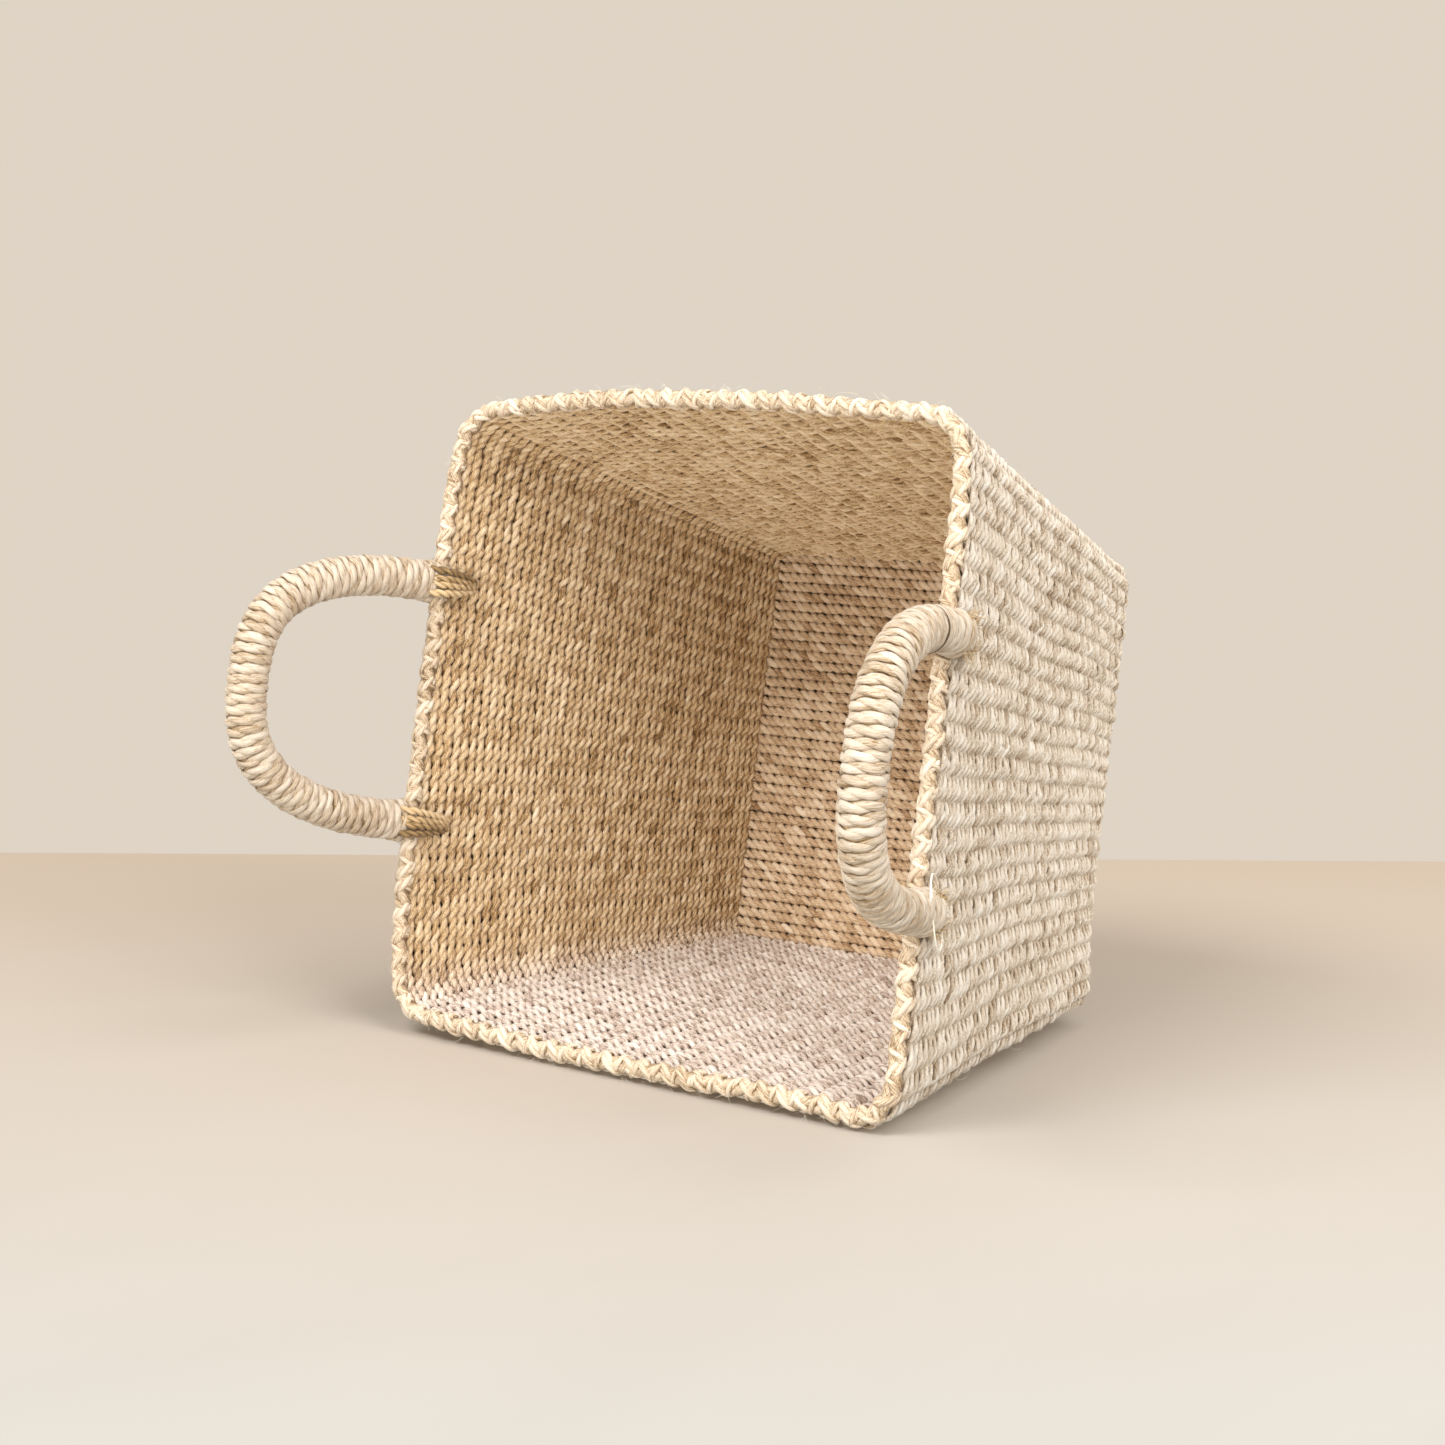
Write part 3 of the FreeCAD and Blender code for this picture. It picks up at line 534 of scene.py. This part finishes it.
base_weave("base_weave_underside", 1.6 * MM, -1, HALF_FOOT - 2.5 * MM,
           ("base_outer_weft",), OUTER, 900)
base_weave("base_weave_inside", WALL - 1.5 * MM, 1, HALF_FOOT - 4.0 * MM,
           ("base_inner_weft",), BASE, 1900)
strands = Strands()
x = (np.arange(BASE_STAKES) - (BASE_STAKES - 1) / 2) * (2 * HALF_FOOT - 12 * MM) / BASE_STAKES
y = np.linspace(-1, 1, BASE_STAKE_POINTS) * (HALF_FOOT - 5 * MM)
centre = np.stack(np.broadcast_arrays(x[:, None], y, WALL / 2), -1)
strands.add(centre, np.broadcast_to([0.0, 0.0, 1.0], centre.shape), BASE_STAKE_THICK, BASE_STAKE_WIDE, 8,
            rng.normal(0.4, 0.1, (BASE_STAKES, 1)))
settle(strands.mesh("base_stakes_in_weave", SHADED_STAKE), ("base_stakes",))

# ---------------------------------------------------------------- rim
FOLD_ACROSS, FOLD_UP = 2.5 * MM, 2.4 * MM   # half the rim's section, at the middle of the folded bunches
FOLD_PLY, CROSSING_PLY = (1.45, 0.9, 1.5, 1.25), (0.8, 0.5, 1.2, 1.1)   # two swings, two half widths, in mm
RIM_CORE, RIM_CORE_SWING = 2.4 * MM, 1.5 * MM
LOOSE_PER_SIDE, LOOSE_OUTSIDE = 170, 0.68   # loose fibres on a wall, and the share of them outside


def rim_braid(side, name):
    """Each stake folded over the rim, and a thinner strand that crosses between the folds."""
    strands = Strands()
    m = (side - 0.5 + (np.arange(STAKES) + 0.5) / STAKES)[:, None]
    jitter = rng.normal(0, 1, (STAKES, 1, 6))
    w = np.linspace(0, 1, 17)[None, :]
    angle = np.radians(212 - 244 * w) + 0.2 * jitter[..., 0]
    g = m + (-0.5 + w + 0.1 * jitter[..., 1]) / STAKES
    bulge = 1 + 0.1 * jitter[..., 2]

    def around_rim(g, stretch, angle):
        return rim_point(g, stretch * FOLD_ACROSS * np.cos(angle), stretch * FOLD_UP * np.sin(angle))

    def folded(g, angle, stretch, beyond, theta, sizes, tone, around, plies):
        line = around_rim(g, stretch, angle)
        away = unit(around_rim(g, beyond, angle) - line)
        along = unit(np.cross(unit(np.gradient(line, axis=1)), away))
        twist(strands, line, along, away, theta, *(size * MM * fade for size in sizes), tone, around, plies,
              0.4, 0.5, 0.3)
    fade = np.sin(np.pi * np.clip(w * 0.9 + 0.05, 0, 1)) ** 0.3
    folded(g, angle, bulge, bulge * 1.2, TAU * (0.25 + 0.9 * w) + 0.8 * jitter[..., 3], FOLD_PLY,
           0.66 + 0.09 * jitter[..., 4], 8, 3)
    angle = np.radians(-28 + 236 * w) + 0.1 * jitter[..., 3]
    g = m + (0.05 + 0.85 * w) / STAKES
    folded(g, angle, 1.12, 1.4, TAU * (0.1 + 0.8 * w) + jitter[..., 1], CROSSING_PLY,
           0.64 + 0.1 * jitter[..., 5], 7, 2)

    # a plain two-ply core under the folds
    steps = STAKES * 4
    k = np.arange(-1, steps + 2)
    g = (side - 0.5 + k / steps)[None, :]
    centre, up, outward = frames(rim_point, g, 0 * g, 0 * g)
    end = np.where((k < 0) | (k > steps), HIDDEN_END, 1.0)[None, :]
    twist(strands, centre, up, outward, TAU * STAKES / 2 * g, RIM_CORE_SWING * end, RIM_CORE_SWING * end,
          RIM_CORE * end, RIM_CORE * end, 0.5, 8)
    settle(strands.mesh(f"{name}_rim_folds", RIM), (f"{name}_rim_braid", f"{name}_rim_corner"))


def hairs(strands, centre, thickness, r):
    """Thin fibres along given lines, each tapering to its end."""
    across = np.gradient(centre, axis=1)[..., ::-1] + 1e-5
    strands.add(centre, across, thickness, thickness, 4, r.normal(0.6, 0.2, (len(centre), 1)))


def loose_fibres(side, name, count):
    """Short fibres that lift off the weave and the rim."""
    strands = Strands()
    w = np.linspace(0, 1, 7)[None, :]
    taper = 1 - 0.7 * w
    r = np.random.default_rng(50 + side)
    g0, z0 = side - 0.48 + 0.96 * r.random((count, 1)), r.uniform(6 * MM, TOP, (count, 1))
    face = r.random((count, 1)) < LOOSE_OUTSIDE
    length, heading = r.uniform(5, 16, (count, 1)) * MM, r.normal(0, 0.7, (count, 1))
    lift = r.uniform(0.3, 2.2, (count, 1)) * MM * np.sin(np.pi * w ** 0.8) + 0.1 * MM
    g = np.clip(g0 + length * np.cos(heading) * w / (2 * HALF_TOP), side - 0.5, side + 0.5)
    z = z0 + length * np.sin(heading) * w + r.normal(0, 1.2, (count, 1)) * MM * w ** 2
    out = np.where(face, 0.2 * MM + lift, -WALL - 0.1 * MM - lift)
    centre = shell(g, z, out)
    hairs(strands, centre, r.uniform(0.05, 0.11, (count, 1)) * MM * taper, r)
    count = STAKES * 3
    g0 = side - 0.48 + 0.96 * r.random((count, 1))
    angle = r.uniform(-0.3, math.pi + 0.3, (count, 1))
    length = r.uniform(1.5, 4.5, (count, 1)) * MM
    reach = 0.9 + length * np.sin(r.uniform(0.3, 1.4, (count, 1))) * w / (5 * MM)
    centre = rim_point(g0 + length * w * r.choice([-1, 1], (count, 1)) / (2 * HALF_TOP),
                       reach * 4.6 * MM * np.cos(angle), reach * 4.2 * MM * np.sin(angle))
    hairs(strands, centre, r.uniform(0.05, 0.08, (count, 1)) * MM * taper, r)
    settle(strands.mesh(f"{name}_loose_fibres", LOOSE))


for side, name in enumerate(SIDES):
    rim_braid(side, name)
    loose_fibres(side, name, LOOSE_PER_SIDE)

# ---------------------------------------------------------------- handles
HANDLE_RISE, HANDLE_POWER, LEG_OUT = 88 * MM, 2.65, 3 * MM
WRAP_RADIUS = 9.5 * MM
HALF_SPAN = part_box("right_handle_wrap")[1].y - WRAP_RADIUS
RIM_UP = (RIM_TOP - TOP) / COS
TWINE_PITCH, TWINE_IN = 4.25 * MM, 1.35 * MM    # from turn to turn, and from the wrap's outside to its middle
TWINE_TURN_POINTS = 34
TWINE_STITCHES = 4001                       # tones drawn for a winding, more than it has stitches
CORE_RADIUS = 7.6 * MM
SHADE_SLIT_UP = 31 * MM                           # height of the painted shade in the slit between two turns of the -X handle
BRISTLES = 260                              # frayed fibres on each leg
LEFT_SHIFT, LEFT_TIP = 5.0 * MM, math.radians(5.6)  # the -X handle, as photographed
# In mm: heights above the rim's top, the way from turn to turn or cord to cord, and each ply's two swings
# and two half widths.
WHIP_TOP, WHIP_FOOT, WHIP_PITCH = 3.5, -4.5, 3.3
ANCHOR_CORDS, ANCHOR_GAP, ANCHOR_END = 4, 3.6, -22.0
TAIL_CORDS, TAIL_GAP = 5, 3.2
TWINE_PLY, ANCHOR_PLY = (0.82, 0.5, 1.78, 0.85), (0.9, 0.8, 1.05, 0.95)


class HandleFrame:
    """The plane of a handle.

    y is along the rim, up from the rim's top in the wall's plane, and out from the wall's middle. shift moves
    the handle along y, and tip leans it out.
    """

    def __init__(self, sign, shift, tip):
        self.shift, self.tip = shift, tip
        self.up = np.array([sign * SIN, 0, COS])
        self.out = np.array([sign * COS, 0, -SIN])
        self.foot = np.array([sign * (HALF_TOP - WALL / 2), 0, TOP]) + self.up * RIM_UP

    def at(self, y, up, out):
        """Places on the soft basket, in the row frame."""
        y, up, out = np.broadcast_arrays(y, up, out)
        lean = np.maximum(up, 0) * math.tan(self.tip)
        p = self.foot + up[..., None] * self.up + (out + lean)[..., None] * self.out
        p[..., 1] = y + self.shift
        return soften(p)


def loop_line(count):
    """The handle's centreline (y, up), evenly spaced from leg to leg."""
    a = np.linspace(0, math.pi, 2000)
    power = 2 / HANDLE_POWER
    y = -HALF_SPAN * np.sign(np.cos(a)) * np.abs(np.cos(a)) ** power
    up = HANDLE_RISE * np.abs(np.sin(a)) ** power
    far = np.concatenate([[0], np.cumsum(np.hypot(np.diff(y), np.diff(up)))])
    even = np.linspace(0, far[-1], count)
    return np.interp(even, far, y), np.interp(even, far, up), far[-1]


def wound(strands, centre, tangent, side_way, wind, radius, squeeze, tone_seed, swell=1.0, ply_turns=2.72):
    """Two-ply twine wound round a line, by the angle wind; squeeze, if given, moves its points."""
    n = unit(np.cross(side_way, tangent))
    radial = np.cos(wind)[:, None] * n + np.sin(wind)[:, None] * side_way
    line = centre + radial * (radius * swell)[:, None]
    if squeeze is not None:
        line = squeeze(line)
    theta = wind * ply_turns
    table = np.random.default_rng(tone_seed).normal(0.66, 0.1, (2, TWINE_STITCHES))

    def tone(angle, ply):
        return table[ply, np.floor((angle + math.pi / 2) / TAU).astype(int) % TWINE_STITCHES]
    one = np.ones_like(theta)[None]
    swing_b, swing_c, ply_b, ply_c = (size * MM for size in TWINE_PLY)
    low, high = int(theta.min()), int(theta.max())
    sizes = np.random.default_rng(tone_seed + 9).normal(1, 0.1, high - low + 5)
    fat = np.interp(theta, np.arange(low - 2, high + 3), sizes)[None]
    twist(strands, line[None], tangent[None], radial[None], theta[None], swing_b * one, swing_c * one,
          ply_b * fat, ply_c * fat, tone, 8, 2, 0.1, 0.3, 0.2)


def handle(name, sign, shift, tip, seed):
    """A handle with its wrapping, whipped legs, anchor cords and tails; sign is the side's sign of x."""
    rig = HandleFrame(sign, shift, tip)
    y, up, length = loop_line(400)
    turns = int(length / TWINE_PITCH)
    samples = turns * TWINE_TURN_POINTS
    share = np.linspace(0.006, 0.994, samples)
    grid = np.linspace(0, 1, 400)
    yy, uu = np.interp(share, grid, y), np.interp(share, grid, up)
    centre = rig.at(yy, uu, LEG_OUT)
    tangent = unit(np.gradient(centre, axis=0))
    out = np.broadcast_to(rig.out, centre.shape)
    wind = TAU * turns * share + 0.5 * wave(share, 1, seed)
    radius = WRAP_RADIUS - TWINE_IN + 0.2 * MM * wave(share, 1, seed + 1)
    strands = Strands()
    wound(strands, centre, tangent, out, wind, radius, None, seed)
    if sign < 0:
        # painted shade in the slit between two turns: a flat dark strand laid over them
        spot = int(np.searchsorted(up[:200], SHADE_SLIT_UP))
        near, ahead = rig.at(y[spot:spot + 2], up[spot:spot + 2], LEG_OUT)
        onward = unit(ahead - near)
        across = unit(np.cross(onward, rig.out))
        across = across if across[1] < 0 else -across
        turn = np.radians(np.linspace(-80, 75, 24))[:, None]
        away = np.cos(turn) * rig.out + np.sin(turn) * across
        line = near + away * (WRAP_RADIUS + 0.25 * MM) - onward * 2.2 * MM * np.sin(turn)
        taper = np.sin(np.linspace(0.1, 0.95, 24) * math.pi)[None]
        strands.add(line[None], away[None], 0.3 * MM * taper, 0.7 * MM * taper, 6, -0.2)
    wrap = strands.mesh(f"{name}_twine_wrap", WRAP)
    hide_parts(f"{name}_handle_wrap")
    strands = Strands()
    centre = rig.at(y[::6], np.maximum(up[::6], 0.5 * MM), LEG_OUT)
    strands.add(centre[None], np.broadcast_to(rig.out, centre.shape)[None], CORE_RADIUS, CORE_RADIUS, 16, 0.5)
    core = strands.mesh(f"{name}_core_in_wrap", CORD)
    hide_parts(f"{name}_handle_core")
    for piece in (wrap, core):
        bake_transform(piece)

    # whipped ends on the rim and against the wall, anchor cords inside with spots of painted shade where they
    # go in, tails outside
    whips, anchors, tails, shade_spots = Strands(), Strands(), Strands(), Strands()
    for leg in (-1, 1):
        leg_y = leg * HALF_SPAN
        rise = np.linspace(WHIP_TOP, WHIP_FOOT, TWINE_TURN_POINTS * 3) * MM
        swell = 1.0 + 0.1 * np.sin(np.pi * np.clip((WHIP_TOP * MM - rise) / WRAP_RADIUS, 0, 1))
        centre = rig.at(leg_y, rise, LEG_OUT)
        tangent = np.broadcast_to(-rig.up, centre.shape)
        origin = rig.at(np.array(leg_y), np.array(0.0), np.array(0.0))
        inner = np.where(rise > 0.5 * MM, -WRAP_RADIUS, -1.0 * MM)

        def squeeze(line):
            """Keeps the whipping on the wall's outside, below the rim's top."""
            out_now = (line - origin) @ rig.out
            return line + np.maximum(inner - out_now, 0)[:, None] * rig.out
        wind = -rise / (WHIP_PITCH * MM) * TAU
        wound(whips, centre, tangent, np.broadcast_to(rig.out, centre.shape), wind,
              np.full_like(rise, WRAP_RADIUS - TWINE_IN), squeeze, seed + 5 + leg, swell)
        w = np.linspace(0, 1, 40)
        for cord in range(ANCHOR_CORDS):
            place = cord - (ANCHOR_CORDS - 1) / 2
            spread = place * ANCHOR_GAP * MM
            y_line = leg_y + spread * (1 - 0.72 * w ** 1.6) + 0.4 * MM * math.sin(cord * 2.1)
            up_line = (WHIP_TOP + (ANCHOR_END - WHIP_TOP) * w) * MM
            way = np.interp(w, [0, 0.1, 0.22, 0.6, 0.88, 1], [-3.0, -6.0, -8.4, -8.0, -6.2, -4.0]) * MM
            way = way - 0.9 * MM * np.sin(np.pi * w) * (abs(place) < 1)
            line = rig.at(y_line, up_line, way)
            outward = -np.broadcast_to(rig.out, line.shape)
            cross = unit(np.cross(outward, np.gradient(line, axis=0)))
            theta = TAU * w * 3.4 + cord * 1.3
            taper = np.interp(w, [0, 0.85, 1], [1, 1, 0.75])[None]
            twist(anchors, line[None], cross[None], outward[None], theta[None],
                  *(size * MM * taper for size in ANCHOR_PLY), 0.45 - 0.13 * leg * sign * place, 8)
        # a dark spot of painted shade where the anchor cords go into the weave
        spot = rig.at(leg_y + np.linspace(-3.2, 3.2, 9) * MM, np.full(9, -19.5 * MM), np.full(9, -4.9 * MM))
        size = np.sin(np.linspace(0.05, 0.95, 9) * math.pi)[None] * MM
        shade_spots.add(spot[None], np.broadcast_to(rig.out, spot.shape)[None], 1.4 * size, 2.6 * size, 8, 0.3)
        w = np.linspace(0, 1, 20)
        for cord in range(TAIL_CORDS):
            spread = (cord - (TAIL_CORDS - 1) / 2) * TAIL_GAP * MM
            y_line = leg_y + spread * (1 - 0.25 * w)
            up_line = (-2 - (13.0 + 1.6 * math.cos(cord * 1.9)) * w) * MM
            way = np.interp(w, [0, 0.35, 0.7, 1], [8.6, 9.0, 8.4, 4.6]) * MM
            line = rig.at(y_line, up_line, way)
            outward = np.broadcast_to(rig.out, line.shape)
            cross = unit(np.cross(outward, np.gradient(line, axis=0)))
            theta = TAU * w * 1.5 + cord
            full = np.ones_like(theta)[None]
            twist(tails, line[None], cross[None], outward[None], theta[None], 0.85 * MM * full,
                  0.8 * MM * full, 1.0 * MM, 0.95 * MM, 0.4 + 0.08 * math.sin(cord * 2.3), 8)
        count = BRISTLES
        r = np.random.default_rng(seed + 20 + leg)
        w = np.linspace(0, 1, 7)[None, :]
        root, fan = r.uniform(-8.5, 8.5, (count, 1)) * MM, r.normal(0, 0.35, (count, 1))
        long = r.uniform(5, 15, (count, 1)) * MM
        start_up = np.where(r.random((count, 1)) < 0.85, -3.0, 1.0) * MM
        out_way = r.uniform(5.0, 10.5, (count, 1)) * MM + r.uniform(-2.0, 2.5, (count, 1)) * MM * w ** 2
        line = rig.at(leg_y + root + long * np.sin(fan) * w, start_up - long * np.cos(fan) * w, out_way)
        thin = r.uniform(0.12, 0.27, (count, 1)) * MM * (1 - 0.6 * w)
        tails.add(line, np.broadcast_to(rig.out, line.shape), thin, thin, 4, r.uniform(0.3, 0.95, (count, 1)))
    settle(whips.mesh(f"{name}_leg_whipping", WRAP), (f"{name}_leg_collars",))
    settle(anchors.mesh(f"{name}_anchor_cords_inside", CORD), (f"{name}_anchor_cords",))
    settle(shade_spots.mesh(f"{name}_anchor_painted_shade", PAINTED_SHADE))
    settle(tails.mesh(f"{name}_cord_tails_outside", CORD), (f"{name}_cord_tails",))
    return rig


handle("right", 1, 0.0, 0.0, 71)
left_rig = handle("left", -1, LEFT_SHIFT, LEFT_TIP, 81)

# One loose fibre of the wrapping hangs in a loop round the near leg of the -X handle.
strands = Strands()
w = np.linspace(0, 1, 60)
turn = np.radians(150 - 420 * w)
loop_y = HALF_SPAN + (13 + 3 * w) * MM * np.cos(turn)
loop_up = (-2 + (9.5 + 3 * w) * np.sin(turn)) * MM
loop_out = (9 + 3.5 * np.cos(turn - 0.6)) * MM
line = left_rig.at(loop_y, loop_up, loop_out)
strands.add(line[None], np.broadcast_to(left_rig.out, line.shape)[None], 0.38 * MM, 0.38 * MM, 6, 0.8)
settle(strands.mesh("left_loose_loop", LOOSE))

# ---------------------------------------------------------------- lying frame, camera, floor, light
TILT = math.atan((HALF_RIM - HALF_FOOT) / RIM_TOP)
CT, ST = math.cos(TILT), math.sin(TILT)


def lying_way(x, y, z):
    """A direction in the photographed pose (z up, the mouth to -y) as a direction of the row frame."""
    return Vector((-x, -(y * ST + z * CT), -y * CT + z * ST))


def lying(x, y, z):
    """A place in the photographed pose as a place in the row frame.

    z = 0 is where a straight wall would lie. The bowed wall reaches lower, to FLOOR_LEVEL.
    """
    return lying_way(x, y, z - HALF_FOOT * CT)


def basis(right, up, back):
    """A rotation from its three axes."""
    return Matrix((right, up, back)).transposed()


CAMERA_PLACE = (0.7293, -1.0890, 0.2921)
YAW, PITCH, ROLL = (math.radians(v) for v in (-38.15, -7.45, 0.36))
LENS = 67.2
forward = Vector((math.sin(YAW) * math.cos(PITCH), math.cos(YAW) * math.cos(PITCH), math.sin(PITCH)))
level = Vector((math.cos(YAW), -math.sin(YAW), 0))
above = level.cross(forward)
right_way = level * math.cos(ROLL) + above * math.sin(ROLL)
up_way = right_way.cross(forward)
camera_data = bpy.data.cameras.new("camera")
camera_data.lens, camera_data.sensor_width = LENS, 36
camera_data.clip_start, camera_data.clip_end = 0.01, 50
camera = bpy.data.objects.new("camera", camera_data)
bpy.context.scene.collection.objects.link(camera)
turned = basis(lying_way(*right_way), lying_way(*up_way), -lying_way(*forward)).to_4x4()
turned.translation = lying(*CAMERA_PLACE)
camera.matrix_world = turned
bpy.context.scene.camera = camera


def floor_material():
    """A plain pale floor with a faint grain, warmer further away, and clear from below."""
    material = bpy.data.materials.new("floor")
    material.use_nodes = True
    nodes, links = material.node_tree.nodes, material.node_tree.links
    shader = nodes["Principled BSDF"]
    shader.inputs["Roughness"].default_value = 0.7
    shader.inputs["Specular IOR Level"].default_value = 0.2
    place = nodes.new("ShaderNodeTexCoord")
    grain = nodes.new("ShaderNodeTexNoise")
    for key, value in (("Scale", 2.2), ("Detail", 4), ("Distortion", 0.6)):
        grain.inputs[key].default_value = value
    stretch = nodes.new("ShaderNodeVectorMath")
    stretch.operation = "MULTIPLY"
    stretch.inputs[1].default_value = (3.0, 0.7, 1.0)
    links.new(place.outputs["Object"], stretch.inputs[0])
    links.new(stretch.outputs[0], grain.inputs["Vector"])
    ramp = nodes.new("ShaderNodeValToRGB")
    ramp.color_ramp.elements[0].position, ramp.color_ramp.elements[0].color = 0.3, srgb("A4A9AB")
    ramp.color_ramp.elements[1].position, ramp.color_ramp.elements[1].color = 0.7, srgb("AAAFB1")
    links.new(grain.outputs["Fac"], ramp.inputs["Fac"])
    away = nodes.new("ShaderNodeAttribute")
    away.attribute_name = "away"
    warm = nodes.new("ShaderNodeMix")
    warm.data_type = "RGBA"
    warm.inputs[7].default_value = srgb("CEBEAC")
    links.new(away.outputs["Fac"], warm.inputs[0])
    links.new(ramp.outputs["Color"], warm.inputs[6])
    links.new(warm.outputs[2], shader.inputs["Base Color"])
    back = nodes.new("ShaderNodeNewGeometry")
    clear = nodes.new("ShaderNodeBsdfTransparent")
    mix = nodes.new("ShaderNodeMixShader")
    links.new(back.outputs["Backfacing"], mix.inputs[0])
    links.new(shader.outputs[0], mix.inputs[1])
    links.new(clear.outputs[0], mix.inputs[2])
    links.new(mix.outputs[0], nodes["Material Output"].inputs["Surface"])
    return material


FLOOR_START, FLOOR_END, FLOOR_HALF_WIDTH = 0.3, 1.66, 0.9    # metres from the camera, and to each side


def lowest(name):
    """How low a piece reaches in the photographed pose."""
    data = bpy.data.meshes[name]
    points = np.empty(3 * len(data.vertices), np.float32)
    data.vertices.foreach_get("co", points)
    return float((points[2::3] * ST - points[1::3] * CT).min()) + HALF_FOOT * CT


FLOOR_LEVEL = min(lowest(f"{side}_{part}")
                  for side in ("back", "left") for part in ("rim_folds", "weave_outside"))
heading = Vector((math.sin(YAW), math.cos(YAW)))
beside = Vector((heading.y, -heading.x))
eye = Vector(CAMERA_PLACE[:2])
corners = [eye + heading * far + beside * aside for far, aside in (
    (FLOOR_START, -FLOOR_HALF_WIDTH), (FLOOR_START, FLOOR_HALF_WIDTH),
    (FLOOR_END, FLOOR_HALF_WIDTH), (FLOOR_END, -FLOOR_HALF_WIDTH))]
floor_data = bpy.data.meshes.new("floor")
floor_data.from_pydata([lying(c.x, c.y, FLOOR_LEVEL) for c in corners], [], [(0, 1, 2, 3)])
floor = bpy.data.objects.new("floor", floor_data)
bpy.context.scene.collection.objects.link(floor)
floor_data.attributes.new("away", "FLOAT", "POINT").data.foreach_set("value", (0.0, 0.0, 1.0, 1.0))
floor_data.materials.append(floor_material())
floor_data.update()
if floor_data.polygons[0].normal.dot(lying_way(0, 0, 1)) < 0:
    floor_data.flip_normals()
# Light passes the floor and reaches the wall that the bin lies on, so that views from behind show it.
floor.visible_diffuse = False
floor.visible_shadow = False


def softbox(name, place, aim, width, height, power, colour):
    """An area light at a place in the photographed pose."""
    data = bpy.data.lights.new(name, "AREA")
    data.shape, data.size, data.size_y = "RECTANGLE", width, height
    data.energy, data.color = power, colour
    lamp = bpy.data.objects.new(name, data)
    bpy.context.scene.collection.objects.link(lamp)
    where, at = lying(*place), lying(*aim)
    lamp.matrix_world = (at - where).to_track_quat("-Z", "Y").to_matrix().to_4x4()
    lamp.matrix_world.translation = where


softbox("right", (1.6, -0.5, 0.9), (0, 0.1, 0.1), 1.4, 1.2, 27, (1.0, 0.985, 0.965))
softbox("low", (0.1, -1.2, 0.05), (0, 0.0, 0.33), 1.0, 0.15, 7, (1.0, 0.96, 0.88))
softbox("top", (0.8, 0.0, 1.9), (0, 0.1, 0.1), 1.2, 1.2, 12, (1.0, 0.99, 0.98))
softbox("front", (-0.3, -1.5, 1.8), (0, 0.0, 0.1), 1.4, 1.0, 38, (1.0, 0.99, 0.98))

world = bpy.data.worlds.new("studio")
world.use_nodes = True
backdrop = world.node_tree.nodes["Background"]
backdrop.inputs["Color"].default_value = srgb("DFD4C5")
seen = world.node_tree.nodes.new("ShaderNodeLightPath")
strength = world.node_tree.nodes.new("ShaderNodeMapRange")
FILL_LIGHT, BACKDROP_LIGHT = 0.55, 1.0      # the background's light on the bin, and as the camera sees it
strength.inputs["To Min"].default_value = FILL_LIGHT
strength.inputs["To Max"].default_value = BACKDROP_LIGHT
world.node_tree.links.new(seen.outputs["Is Camera Ray"], strength.inputs["Value"])
world.node_tree.links.new(strength.outputs["Result"], backdrop.inputs["Strength"])
bpy.context.scene.world = world
bpy.context.scene.view_settings.view_transform = "Standard"
